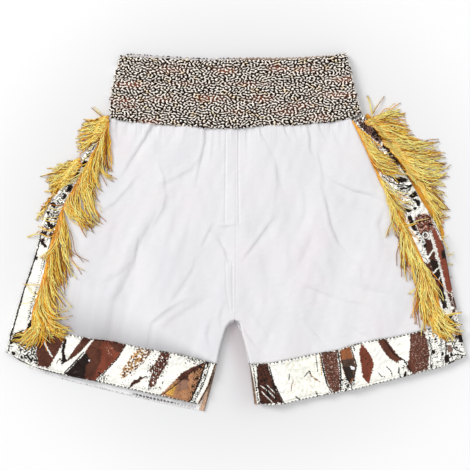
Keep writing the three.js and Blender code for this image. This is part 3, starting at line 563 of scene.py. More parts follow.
def woven_material(name, rgb, pitch=900, rough=0.85, tinted=False):
    m, nt, bsdf = material(name, rgb, rough, sheen=0.2, spec=0.3)
    v = coords(nt, (pitch, pitch, pitch))
    a = node(nt, "ShaderNodeTexWave", Scale=1.0)
    a.bands_direction = "X"
    b = node(nt, "ShaderNodeTexWave", Scale=1.0)
    b.bands_direction = "Y"
    nt.links.new(v, a.inputs["Vector"])
    nt.links.new(v, b.inputs["Vector"])
    weave = mix(nt, 0.5, a.outputs["Color"], b.outputs["Color"], "MIX")
    n = node(nt, "ShaderNodeTexNoise", Scale=60.0, Detail=3.0)
    vv = coords(nt)
    nt.links.new(vv, n.inputs["Vector"])
    lo = tuple(c * 0.82 for c in rgb)
    r = ramp(nt, n.outputs["Fac"], [(0.35, lo), (0.65, rgb)])
    cloth_colour = r.outputs["Color"]
    if tinted:
        at = nt.nodes.new("ShaderNodeAttribute")
        at.attribute_name = "Tint"
        cloth_colour = mix(nt, 1.0, cloth_colour, at.outputs["Color"], "MULTIPLY")
    nt.links.new(mix(nt, 0.12, cloth_colour, weave, "MULTIPLY"), bsdf.inputs["Base Color"])
    bump(nt, bsdf, weave, 0.3, 0.0003)
    return m


SATIN = satin_material()
FOIL = foil_material("gold_foil", rough=0.24, metal=0.45, speck=0.12, crinkle=0.06, spec=0.25, coat=0.0)
WAIST = foil_material("shirred_foil", rough=0.34, metal=0.12, speck=0.12, crinkle=0.1, spec=0.05, coat=0.0)
FRINGE = fringe_material()
TAPE = woven_material("yellow_tape", tuple(srgb(252, 180, 64)), 1100)
LINING = woven_material("white_lining", tuple(srgb(248, 247, 248)), 1300, tinted=True)
ELASTIC = woven_material("woven_elastic", tuple(srgb(240, 238, 232)), 700)
THREAD = woven_material("pale_thread", tuple(srgb(225, 222, 222)), 3000, 0.6)

# foil colours: on the hems and stripes they paint the gold foil's reflections, cream where it mirrors bright light and
# browns to black where it mirrors dark surroundings; black also draws stitches
CREAM = srgb(253, 252, 243)
BROWN = srgb(92, 52, 38)
REDBROWN = srgb(122, 62, 44)
BLACK = srgb(30, 18, 13)
TAN = srgb(190, 148, 98)
BEIGE = srgb(214, 178, 150)
GREYBR = srgb(150, 118, 104)
GOLD = srgb(222, 170, 80)

crumple = Field(31, 5.0, 9.0, (-340, -270, 340, 270), 0.7)
crackle = Field(32, 2.2, 4.0, (-340, -270, 340, 270), 0.5)
worm = Field(33, 3.3, 7.0, (-200, 120, 200, 270), 0.35, stretch=0.74)


def paint(X, Y, base, shapes, rough_edge=0.5):
    """Lays coloured shapes over a base: (colour, softness, points) with crackled edges. Points are on the grid."""
    c = np.broadcast_to(base, X.shape + (3,)).copy()
    jag = crackle(X, Y) * rough_edge + crumple(X, Y) * rough_edge * 0.9
    for colour, soft, pts in shapes:
        d = inside(X, Y, G(*pts)) + jag * min(1.0, soft)
        k = step(d, -0.4 * soft, 0.45 * soft)[..., None]
        c = c * (1 - k) + np.asarray(colour) * k
    return c


def streak(colour, soft, width, *pts):
    """A long thin shape: a line of the given half-width (grid units)."""
    return ("line", colour, soft, width * U, G(*pts))


def paint_lines(X, Y, c, lines):
    jag = crackle(X, Y) * 0.35
    for _, colour, soft, w, pts in lines:
        d, _, t = to_line(X, Y, pts)
        w2 = w * (0.45 + 0.55 * np.sin(np.pi * np.clip(t, 0.03, 0.97)) ** 0.5)
        k = step(w2 - d + jag, -0.3 * soft, 0.4 * soft)[..., None]
        c = c * (1 - k) + np.asarray(colour) * k
    return c


def painted_crease_light(X, Y, c, zone, colour, width, soft=3.0):
    """Thin creases of crumpled foil inside a zone, painted into the colour: painted shade when the colour is dark, a
    painted highlight when it is cream.
    """
    f = crumple(X * 0.62 + 40, Y * 0.62) + 0.25 * crumple(X * 1.7, Y * 1.7 + 9)
    k = step(width - np.abs(f), 0.0, 0.10) * step(inside(X, Y, G(*zone)), 0, soft)
    k = np.maximum(k, step(f, 1.15, 1.45) * step(inside(X, Y, G(*zone)), 0, soft))
    return c * (1 - k[..., None]) + np.asarray(colour) * k[..., None]


def speckle(X, Y, c, zone, colour, level, soft=2.0, grain=1.0):
    """Crackled specks of another colour inside a zone (grid points)."""
    d = inside(X, Y, G(*zone))
    k = step(crackle(X * grain, Y * grain) + 0.6 * crumple(X * grain, Y * grain), level, level + 0.35) * step(d, 0, soft)
    return c * (1 - k[..., None]) + np.asarray(colour) * k[..., None]


# ---------------------------------------------------------------- front panels
N = 1
pieces = {}


def put(o, mat, slot, *nodes, body="shorts"):
    o.data.materials.append(mat)
    if nodes:
        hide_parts(*nodes)
    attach(o, body)
    pieces[o.name] = o
    return o


def cut_line(a, b, k):
    a, b = resample(a, 40), resample(b, 40)
    return a * (1 - k) + b * k


CENTRE_SEAMS = [
    (G((235.5, 128), (235.5, 221)), 0.12, 1.2),
    (G((226, 129), (225.5, 180), (225, 222)), 0.7, 1.3),
    (G((238.5, 129), (238.5, 180), (239, 222)), 0.7, 1.3),
    (G((225.5, 262), (226.5, 290), (230, 311)), 0.5, 1.2),
    (G((232.5, 262), (232.5, 290), (233, 311)), 0.6, 1.2),
    (G((235.5, 221), (235.5, 321)), 0.12, 1.2),
]
for side in ("left", "right"):
    L = side == "left"
    if L:
        top = [(x, y + 2.4) for x, y in G((111.5, 119.2)) + line("waistBottom", 1, 5) + [(-0.7, 145.6)]]
        left = [top[0]] + line("stripeInLeft", 1, 12)
        right = [(-0.7, 148.0)] + [(x + 0.15, y) for x, y in CENTRE[1:]] + line("inseamFrontLeft", 1)
        bottom = line("hemTopFrontLeft")
    else:
        top = [(x, y + 2.4) for x, y in [(-0.7, 145.6)] + line("waistBottom", 6, 10)]
        left = [(-0.7, 148.0)] + [(x - 0.15, y) for x, y in CENTRE[1:]] + line("inseamFrontRight", 1)
        right = line("stripeInRight", 0, 14)
        bottom = line("hemTopFrontRight")
    P2 = coons(top, bottom, left, right, 300 // N, 380 // N)
    X, Y = P2[..., 0], P2[..., 1]
    z = front_z(X, Y, CENTRE_SEAMS)
    # the panel tucks under at the hem, side and waist seams
    d = np.minimum.reduce([to_line(X, Y, bottom)[0], to_line(X, Y, right if not L else left)[0], to_line(X, Y, top)[0]])
    z -= 0.8 * np.exp(-(d / 1.6) ** 2)
    o = face_up(grid_mesh("satin_front_" + side, np.dstack([X, Y, z])))
    put(o, SATIN, "satin", f"front_panel_{side}")
    thicken(o, 0.35)
    declare(np.dstack([X, Y, z]))

# ---------------------------------------------------------------- back panels
for side in ("left", "right"):
    L = side == "left"
    if L:
        top = line("waistBottom", 1, 5) + [(-0.9, 145.6)]
        left = [line("waistBottom")[1]] + line("stripeBackLeft", 1, 17)
        right = line("centreBack") + line("inseamBackLeft", 1)
        right = [(x - 0.2 - 1.7 * min(1.0, max(0.0, (-122 - y) / 12)), y) for x, y in right]
        bottom = line("hemTopBackLeft")
    else:
        top = [(-0.5, 145.6)] + line("waistBottom", 6, 10)
        left = line("centreBack") + line("inseamBackRight", 1)
        left = [(x + 0.2 + 1.7 * min(1.0, max(0.0, (-122 - y) / 12)), y) for x, y in left]
        right = line("stripeBackRight", 0, 17)
        bottom = line("hemTopBackRight")
    P2 = coons(top, bottom, left, right, 150 // N, 190 // N)
    X, Y = P2[..., 0], P2[..., 1]
    inner = np.minimum(to_line(X, Y, line("inseamBackLeft"))[0], to_line(X, Y, line("inseamBackRight"))[0])
    z = 1.1 + 0.35 * np.tanh(0.5 * drape(X + 60, Y - 40)) + 1.2 * (1 - roll(inner, 8.0))
    o = face_up(grid_mesh("satin_back_" + side, np.dstack([X, Y, z])))
    put(o, SATIN, "satin", f"back_panel_{side}")
    thicken(o, 0.5)
    declare(np.dstack([X, Y, z]))

# ---------------------------------------------------------------- hem bands
# Painted reflections on the left hem foil, in grid points: over cream, shapes and streaks in browns, tan, gold and
# black where the foil mirrors darker surroundings, and cream streaks where it mirrors bright light.
LEFT_HEM_REFLECTIONS = [
    (BROWN * 0.9, 1.0, [(38, 335), (60, 333), (64, 340), (58, 352), (49, 368), (38, 366), (36, 352)]),
    (BROWN * 0.8, 0.9, [(84, 336), (92, 339), (84, 350), (73, 358), (66, 362), (75, 348)]),
    (BLACK, 0.8, [(64, 338), (67, 340), (64, 352), (67, 362), (62, 364), (61, 352)]),
    (REDBROWN, 1.2, [(94, 339), (110, 340), (126, 345), (117, 359), (104, 372), (95, 381), (82, 379), (84, 362), (86, 350)]),
    (BROWN * 0.9, 1.3, [(90, 345), (102, 350), (100, 364), (92, 378), (84, 378), (86, 356)]),
    (BLACK * 1.2, 1.2, [(86, 352), (92, 356), (86, 366), (84, 380), (72, 377), (64, 374), (74, 364)]),
    (BROWN, 1.2, [(94, 339), (104, 340), (96, 352), (90, 360), (86, 352)]),
    (BROWN * 0.8, 1.0, [(108, 341), (125.5, 345), (120, 353), (114, 350)]),
    (TAN, 1.6, [(139, 348), (151.5, 350), (143, 362), (131.4, 372), (122, 379.5), (119.5, 374), (127, 362), (134, 352)]),
    (srgb(146, 104, 74), 1.2, [(147, 349.5), (152, 350.5), (144, 361), (138, 366), (142, 357)]),
    (BROWN, 1.2, [(161.4, 351), (170.5, 353), (167.6, 363.6), (161.4, 373.6), (154.3, 386.4), (148, 390.5), (148.6, 384), (151.4, 374), (148, 371), (157, 360)]),
    (BROWN * 0.6, 1.0, [(145.7, 376.6), (138.6, 382.6), (128, 389), (132, 382), (140, 377)]),
    (srgb(176, 126, 90), 1.3, [(207, 362.5), (190, 368), (178.6, 376.4), (160, 395), (176, 399), (190, 402.5), (198.6, 382)]),
    (BROWN * 0.9, 1.1, [(205, 362), (196, 365.5), (184, 371.5), (177, 377.5), (181, 381), (191, 373.5), (202, 368)]),
    (BROWN * 0.6, 1.8, [(181, 373), (188, 372), (189, 381), (182, 384), (178, 379)]),
    (srgb(150, 112, 92), 1.2, [(178, 380), (188, 380), (188, 388), (178, 391)]),
    (GOLD, 1.2, [(173.5, 384), (176, 387), (173, 396), (166, 394)]),
    (BEIGE, 0.6, [(216, 363), (219, 362), (208, 408), (197, 405), (206, 386)]),
]
LEFT_HEM_REFLECTION_LINES = [
    streak(CREAM, 0.7, 0.8, (43, 337), (46, 346), (52, 357)),
    streak(CREAM, 0.7, 1.1, (93, 339), (84, 350), (70, 363), (62, 374)),
    streak(BLACK, 0.6, 0.8, (84, 352), (73, 364), (64, 373)),
    streak(BLACK, 0.6, 0.6, (126, 345), (117, 359), (104, 373), (96, 381)),
    streak(BROWN, 0.6, 0.5, (152, 350), (143, 363), (131, 373)),
    streak(BLACK, 0.6, 0.6, (204, 362), (186, 376), (172, 388), (161, 395)),
    streak(BLACK, 0.6, 1.0, (205.5, 363), (200, 380), (190, 402)),
    streak(BLACK, 0.5, 0.6, (210.5, 363.5), (203, 385), (193, 404.5)),
    streak(CREAM, 0.6, 1.3, (212.6, 365), (206, 385), (196.5, 403)),
    streak(BLACK, 0.5, 0.9, (215.3, 364), (208.6, 386), (198, 404.8)),
    streak(BLACK, 0.6, 0.5, (56, 364), (60, 358), (62, 366)),
    streak(BLACK, 0.5, 0.8, (38, 368.5), (50, 372.5), (64, 376)),
    streak(BLACK, 0.5, 0.5, (103, 383), (105, 377), (101, 375)),
    streak(BLACK, 0.5, 0.6, (196, 362), (192, 359.5), (187, 358.5)),
    streak(BLACK, 0.5, 0.5, (193, 365), (195, 361)),
    streak(BLACK, 0.5, 0.5, (158, 352), (163, 351), (172, 352)),
]
# Painted reflections on the right hem foil, laid out the same way.
RIGHT_HEM_REFLECTIONS = [
    (BROWN * 0.75, 1.2, [(257, 364), (268, 364), (271, 376), (277, 391), (284, 403), (260, 404), (257, 385)]),
    (BROWN * 1.1, 1.2, [(320.7, 352.5), (337, 350.5), (340, 373), (340, 391.5), (333, 393), (327, 382), (324, 366)]),
    (srgb(150, 92, 58), 0.9, [(339, 350.5), (350, 346.4), (353, 356), (356.4, 367), (354, 378), (350, 385), (344, 374), (341, 362)]),
    (srgb(84, 64, 54), 0.8, [(342, 360), (353, 358), (356, 368), (353, 378), (347, 378), (343, 370)]),
    (srgb(46, 36, 30), 0.8, [(344, 367), (353, 366), (353, 376), (349, 383), (345, 376)]),
    (REDBROWN, 1.1, [(361, 343), (366, 348), (372, 358), (374, 366), (371, 376), (369, 384), (363, 378), (361, 366), (359, 352)]),
    (BROWN, 1.0, [(377, 340), (386, 339), (391, 346), (397, 354), (402, 360), (397, 363), (389, 358), (382, 349)]),
    (BROWN * 1.1, 1.3, [(410, 334), (424, 331), (428, 342), (430, 355), (428, 369), (413, 374), (406, 368), (409, 358), (410, 346)]),
]
RIGHT_HEM_REFLECTION_LINES = [
    streak(BLACK, 0.5, 0.6, (253, 364), (255.5, 384), (258.5, 404)),
    streak(BLACK, 0.5, 0.6, (256.4, 364), (258.6, 384), (261.5, 404)),
    streak(CREAM, 0.6, 0.8, (261, 386), (268, 391), (275, 398)),
    streak(CREAM, 0.6, 0.6, (262, 392), (268, 398), (272, 402)),
    streak(CREAM, 0.6, 0.5, (266, 384), (272, 390), (276, 394)),
    streak(BLACK, 0.6, 0.8, (269, 366), (274, 384), (284, 403)),
    streak(BLACK, 0.6, 0.9, (319.8, 352), (323, 368), (327, 384), (332, 393)),
    streak(BLACK, 0.6, 0.9, (337.6, 350), (340.6, 368), (341, 391)),
    streak(BLACK, 0.6, 0.7, (350.5, 346), (356.6, 366), (352, 385)),
    streak(BLACK, 0.6, 0.5, (340, 352), (343, 366), (350, 385)),
    streak(BLACK, 0.6, 0.7, (385, 341), (394, 354), (405, 361), (411, 372)),
    streak(BLACK, 0.5, 0.8, (304.6, 376), (309.3, 371.4), (312, 376.8)),
    streak(GREYBR, 0.7, 0.9, (310, 375), (315, 379), (320, 382)),
    streak(BLACK, 0.5, 0.5, (315.4, 353), (317, 364), (318, 373)),
    streak(GOLD * 0.8, 0.5, 0.4, (319.5, 354), (321, 366), (322, 376)),
    streak(BLACK, 0.5, 0.6, (289.6, 374), (289, 380)),
    streak(GREYBR, 0.5, 0.45, (293.5, 380), (291.5, 386), (291, 392)),
    streak(BLACK, 0.5, 0.7, (295, 396), (300, 399.6)),
    streak(BLACK, 0.5, 0.7, (315.7, 391.5), (318.6, 397)),
    streak(BLACK, 0.5, 0.6, (324, 395), (329, 393)),
    streak(BLACK, 0.5, 0.6, (353, 346), (355, 351)),
    streak(BLACK, 0.5, 0.5, (429, 334), (432, 350), (430, 368)),
    streak(BLACK, 0.5, 0.7, (440.5, 338), (442, 352), (443, 368)),
    streak(BLACK, 0.5, 0.5, (399, 372), (401, 378), (398, 380)),
    streak(BLACK, 0.5, 0.5, (378, 372), (381, 376), (385, 377)),
    streak(BLACK, 0.5, 0.5, (386, 366), (391, 371), (392, 376)),
]


# Hem foil colour: painted reflections over cream, a painted sheen in the dark zones, painted highlight and dark
# streaks, then specks.
def hem_reflections_and_specks(X, Y, shapes, lines, spots):
    c = paint(X, Y, CREAM, shapes, 0.42)
    # painted sheen: the dark zones turn softly lighter and darker along a ripple
    c = c * (1 + 0.16 * np.tanh(ripple(X * 1.3, Y * 0.8)) * (c.mean(-1) < 0.5))[..., None]
    c = paint_lines(X, Y, c, lines)
    for zone, colour, level, *grain in spots:
        c = speckle(X, Y, c, zone, colour, level, 2.0, *grain)
    return c


def foil_z(X, Y, amp=1.0):
    return amp * (0.16 * crumple(X, Y) + 0.035 * crackle(X, Y) + 0.5 * ripple(Y * 1.2, X * 1.1))


for side in ("left", "right"):
    L = side == "left"
    cap = "Left" if L else "Right"
    top = line("hemTopFront" + cap)
    bottom = line("hemBottomFront" + cap)
    if L:
        left, right = G((34, 334), (36, 350), (38, 369)), line("hemInseamFrontLeft")
    else:
        left, right = line("hemInseamFrontRight"), G((441, 326), (441.5, 350), (442, 367.5))
    P2 = coons(top, bottom, left, right, 520 // N, 120 // N)
    X, Y = P2[..., 0], P2[..., 1]
    dt, db = to_line(X, Y, top)[0], to_line(X, Y, bottom)[0]
    z = front_z(X, Y) * 0.75 + 0.25 * front_level(X, Y) + foil_z(X, Y)
    z += 0.7 * np.exp(-((dt - 2.6) / 1.8) ** 2) - 0.5 * np.exp(-(dt / 1.0) ** 2)
    # the stitched tuck near the free edge, and the folded edge itself
    z -= 0.8 * np.exp(-((db - 3.2) / 0.9) ** 2) + 1.0 * (1 - roll(db, 1.6))
    stitch = np.abs(np.sin((X * 0.97 - Y * (0.24 if L else -0.27)) * 0.62))
    z += 0.25 * stitch * np.exp(-((dt - 1.3) / 0.8) ** 2)
    if L:
        c = hem_reflections_and_specks(X, Y, LEFT_HEM_REFLECTIONS, LEFT_HEM_REFLECTION_LINES, [
            ([(134, 344), (153, 347), (134, 380), (112, 382)], CREAM, 0.25, -0.7),
            ([(135, 346), (153, 349), (134, 376), (118, 379)], BROWN * 0.8, 0.55, 0.72),
            ([(150, 348), (174, 352), (161, 392), (144, 388)], CREAM, 1.1),
            ([(150, 348), (174, 352), (161, 392), (144, 388)], BLACK, 1.1, -0.8),
            ([(176, 374), (200, 366), (192, 402), (164, 394)], BROWN, 1.45),
            ([(104, 344), (114, 347), (112, 358), (104, 354)], srgb(186, 132, 108), 0.9),
            ([(200, 362), (212, 364), (195, 405), (186, 401)], BLACK, 0.35),
            ([(184, 356), (200, 360), (196, 367), (184, 364)], BLACK, 0.75),
            ([(34, 334), (48, 334), (44, 370), (34, 369)], BLACK, 1.6),
            ([(96, 370), (110, 374), (106, 385), (94, 383)], BLACK, 0.6),
            ([(122, 380), (150, 374), (150, 392), (120, 388)], BLACK, 1.5),
        ])
    else:
        c = hem_reflections_and_specks(X, Y, RIGHT_HEM_REFLECTIONS, RIGHT_HEM_REFLECTION_LINES, [
            ([(256, 364), (270, 364), (284, 404), (258, 405)], CREAM, 1.45),
            ([(256, 364), (270, 364), (284, 404), (258, 405)], BLACK, 0.75),
            ([(322, 352), (338, 350), (341, 391), (328, 393)], srgb(232, 206, 192), 0.85),
            ([(322, 352), (338, 350), (341, 391), (328, 393)], BLACK, 1.2),
            ([(410, 334), (426, 331), (431, 368), (412, 374)], srgb(230, 204, 190), 0.95),
            ([(410, 334), (426, 331), (431, 368), (412, 374)], BLACK, 1.25),
            ([(361, 343), (374, 352), (374, 372), (366, 384), (360, 368)], BLACK, 1.5),
            ([(428, 330), (442, 326), (442, 368), (430, 370)], BLACK, 0.95),
            ([(284, 362), (318, 354), (324, 392), (286, 402)], srgb(236, 226, 190), 1.2),
            ([(338, 378), (356, 378), (354, 392), (340, 394)], BLACK, 0.45),
            ([(404, 360), (412, 362), (410, 372), (400, 368)], BLACK, 0.5),
        ])
    # painted shade along the crumpled creases of the hem foil
    if L:
        c = painted_crease_light(X, Y, c, [(2, 330), (34, 330), (50, 336), (38, 352), (40, 372), (4, 372)], BLACK, 0.2)
        c = painted_crease_light(X, Y, c, [(196, 358), (211, 362), (195, 405), (188, 402)], BLACK, 0.18, 1.5)
    else:
        c = painted_crease_light(X, Y, c, [(426, 326), (470, 322), (470, 372), (430, 372)], BLACK, 0.10)
        c = painted_crease_light(X, Y, c, [(398, 366), (412, 366), (410, 386), (396, 386)], BLACK, 0.14, 1.5)
        c = painted_crease_light(X, Y, c, [(260, 366), (269, 366), (282, 403), (262, 404)], BLACK, 0.24, 1.5)
        c = painted_crease_light(X, Y, c, [(338, 376), (356, 376), (354, 392), (340, 394)], BLACK, 0.22, 1.5)
    # small dark stitches along both long edges
    for dd, w, on in ((dt - 1.1, 1.0, 0.55), (db - 1.0, 1.05 if L else 0.9, 0.42 if L else 0.58)):
        k = (np.exp(-(dd / w) ** 4) * step(stitch + 0.22 * crackle(X, Y) + 0.15 * crumple(X, Y), on, on + 0.15))[..., None]
        c = c * (1 - 0.95 * k) + BLACK * 0.7 * k
    P = np.dstack([X, Y, z])
    o = face_up(grid_mesh(f"foil_hem_front_{side}", P, c))
    put(o, FOIL, "hem_foil", f"hem_band_{side}_front")
    thicken(o, 0.5)
    declare(P)

    # back band: its turned inseam edge shows beside the front one
    top = line("hemTopBack" + cap)
    bottom = line("hemBottomBack" + cap)
    if not L:
        top[0] = (19.4, -183.4)
    if L:
        left, right = G((28, 340), (28, 352), (29, 369)), line("hemInseamBackLeft")
    else:
        left, right = line("hemInseamBackRight"), G((447, 328), (447.5, 345), (448, 366))
    P2 = coons(top, bottom, left, right, 360 // N, 80 // N)
    X, Y = P2[..., 0], P2[..., 1]
    inner = to_line(X, Y, line("hemInseamBack" + cap))[0]
    z = 0.9 + 0.25 * np.tanh(crumple(X, Y)) + 1.8 * (1 - roll(inner, 6.0))
    # back band colour: beige on the turned edge and near white on the rest are painted reflections of the foil, with
    # brown specks near the edge and a dark line of painted shade along the fold
    c = np.broadcast_to(BEIGE, X.shape + (3,)).copy()
    k = step(inner, 5, 9)[..., None]
    c = c * (1 - k) + srgb(255, 254, 252) * k
    k = (0.8 * step(crackle(X, Y), 0.7, 1.2) * step(inner, 0, 4))[..., None]
    c = c * (1 - k) + BROWN * k
    k = (np.exp(-(inner / 0.7) ** 2) * 0.8)[..., None]
    c = c * (1 - k) + BLACK * k
    P = np.dstack([X, Y, z])
    o = face_up(grid_mesh(f"foil_hem_back_{side}", P, c))
    put(o, FOIL, "hem_foil", f"hem_band_{side}_back")
    thicken(o, 0.5)
    declare(P)

    # linings inside the leg
    for face, zz in (("front", 7.2), ("back", 2.6)):
        cf = face.capitalize()
        ht, hb = line(f"hemTop{cf}{cap}"), line(f"hemBottom{cf}{cap}")
        top2, bot2 = cut_line(ht, hb, 0.46), cut_line(ht, hb, 0.97 if face == "back" else 0.93)
        n0 = 4 if L else 2
        n1 = 38 if L else 36
        top2, bot2 = top2[n0 - 1:n1], bot2[n0 - 1:n1]
        P2 = coons(top2, bot2, [top2[0], bot2[0]], [top2[-1], bot2[-1]], 240 // N, 40 // N)
        X, Y = P2[..., 0], P2[..., 1]
        db = to_line(X, Y, bot2)[0]
        zc = (front_z(X, Y) - 2.0) if face == "front" else (2.4 + 0.3 * np.tanh(ripple(X, Y)))
        z = zc - (0.5 * np.exp(-((db - 4.0) / 0.8) ** 2) if face == "back" else 0)
        dash = step(np.sin(X * 1.3) + 0.5 * crackle(X, Y), -0.75, -0.2) * np.exp(-((db - 2.0) / 1.5) ** 4) * (step(X, -152, -138) * (0.35 + 0.65 * (1 - step(X, -92, -76))) if L else step(X, 60, 90) * 0.2)
        c = np.broadcast_to(srgb(255, 255, 255), X.shape + (3,)).copy()
        c = c * (1 - dash[..., None] * 0.95) + BLACK * dash[..., None] * 0.95
        P = np.dstack([X, Y, z])
        o = face_up(grid_mesh(f"lining_hem_{face}_{side}", P, c), face == "back")
        m2 = LINING
        put(o, m2, "lining", f"hem_lining_{side}_{face}")
        thicken(o, 0.4)
        declare(P)

# ---------------------------------------------------------------- side stripes
# Painted reflections on the stripe foil, in grid points: dark shapes and streaks where it mirrors dark surroundings,
# cream streaks where it mirrors bright light.
STRIPE_REFLECTIONS = {
    "left": [
        (BLACK, 0.7, [(82.2, 167), (84, 161), (87, 162), (84.6, 167.6)]),
        (BLACK, 0.8, [(73.5, 178), (76, 171.5), (80.5, 173), (77.5, 179)]),
        (REDBROWN, 0.8, [(75, 176), (77, 172.5), (79, 173.5), (77, 177)]),
        (BLACK, 0.8, [(66.3, 191), (69, 184), (73.4, 186), (70.5, 192.4)]),
        (BLACK, 0.8, [(61.3, 198.5), (65, 193.3), (67.7, 195.5), (64, 199.8)]),
        (BLACK, 0.6, [(50, 203), (53, 201.5), (57, 205), (55, 208.5), (52, 206.5)]),
        (BLACK, 0.6, [(45.5, 211), (51.5, 212), (48, 215)]),
        (BLACK, 0.6, [(55.5, 216), (60.5, 212.5), (59, 218)]),
        (BLACK, 0.6, [(45.5, 220.5), (49.5, 221.5), (52.5, 227.5), (48, 226.5)]),
        (BLACK, 0.6, [(50, 226), (55.5, 224.5), (54.5, 229), (50, 229.8)]),
        (BLACK, 0.6, [(41.5, 232), (48, 230.8), (46.5, 235), (43, 236.5)]),
        (BLACK, 0.6, [(49, 234), (54, 232.6), (51, 238)]),
        (BROWN, 0.8, [(40, 238), (45, 238), (44, 241), (41, 241)]),
        (BLACK, 0.8, [(39, 239), (43, 240), (47, 247), (44, 248)]),
        (BLACK, 0.8, [(34, 254), (38, 257), (37, 260), (33, 259)]),
        (BLACK, 0.9, [(30, 320), (34, 318), (34, 327), (29, 334), (26, 330)]),
        (BLACK, 0.9, [(14, 334), (22, 330), (24, 338), (16, 343), (10, 344)]),
    ],
    "right": [
        (srgb(104, 68, 62), 1.0, [(358, 122), (363, 121), (368, 125), (375, 130), (382.5, 139), (380, 144), (374, 140), (366, 133), (361, 128)]),
        (BLACK, 0.8, [(360, 124), (364, 123), (368, 128), (364, 130), (360, 128)]),
        (BLACK, 0.8, [(370, 128), (375, 131), (381.5, 139), (377, 141), (371, 135)]),
        (BLACK, 0.7, [(382, 143), (386, 143), (391.5, 149), (388, 152.4), (383, 148)]),
        (BLACK, 0.7, [(386, 150.5), (391, 149.8), (394.5, 154.6), (390, 157.4)]),
        (BLACK, 0.7, [(390.6, 156.5), (396, 155), (401.4, 162.5), (398, 166), (393, 162.6)]),
        (BLACK, 0.6, [(392, 178), (400, 176.8), (407.6, 178.6), (406.8, 181.8), (400, 183.2), (395, 181.8)]),
        (BLACK, 0.6, [(396, 185.8), (404, 185.2), (411.8, 184.2), (410.4, 188), (402, 190), (398, 188.4)]),
        (BLACK, 0.6, [(408, 196.2), (415, 190.2), (417.8, 196), (412, 198.8)]),
        (BLACK, 0.6, [(414.2, 199), (419.2, 199.6), (421.2, 206), (417, 205.7)]),
        (BLACK, 0.6, [(404.6, 207.6), (412.8, 210), (409, 212.8), (403.6, 211)]),
        (BLACK, 0.6, [(407, 216), (411, 215), (414, 222), (418.5, 231), (413, 231), (409, 223)]),
        (REDBROWN, 1.0, [(415, 217), (424, 213), (431, 216), (434, 226), (429, 232), (420, 234), (416, 225)]),
        (BROWN * 0.7, 1.0, [(424, 239), (431, 239), (434, 250), (437, 262), (430, 262), (426, 252)]),
        (BLACK * 1.3, 1.0, [(429, 260), (440, 261), (442.5, 276), (446, 294), (448.5, 309), (443, 309), (439, 296), (434, 282)]),
        (BROWN * 0.9, 0.9, [(424, 262), (431, 264), (436, 282), (441, 297), (439, 300), (433, 286)]),
        (REDBROWN, 0.9, [(433, 281), (439, 281), (441, 293), (437, 292)]),
        (REDBROWN * 1.15, 1.0, [(430, 225), (435, 228), (441, 240), (446, 250), (449.5, 268), (452.5, 284), (456, 300), (458, 310),
                                (451, 306), (447, 292), (442, 270), (437, 250), (432, 234)]),
        (BROWN * 0.7, 0.9, [(448, 292), (454, 296), (457, 310), (452, 314)]),
        (BLACK, 0.8, [(441, 250), (446, 250), (447, 258), (442, 259)]),
        (BLACK, 0.8, [(457, 332), (464, 334), (465, 344), (459, 342)]),
        (GREYBR * 0.8, 0.8, [(447, 345), (452, 345), (453, 352), (448, 353)]),
        (BLACK, 0.7, [(444, 356), (449, 354), (450, 362), (445, 364)]),
        (BLACK, 0.8, [(446, 318), (454, 320), (456, 328), (448, 326)]),
    ],
}
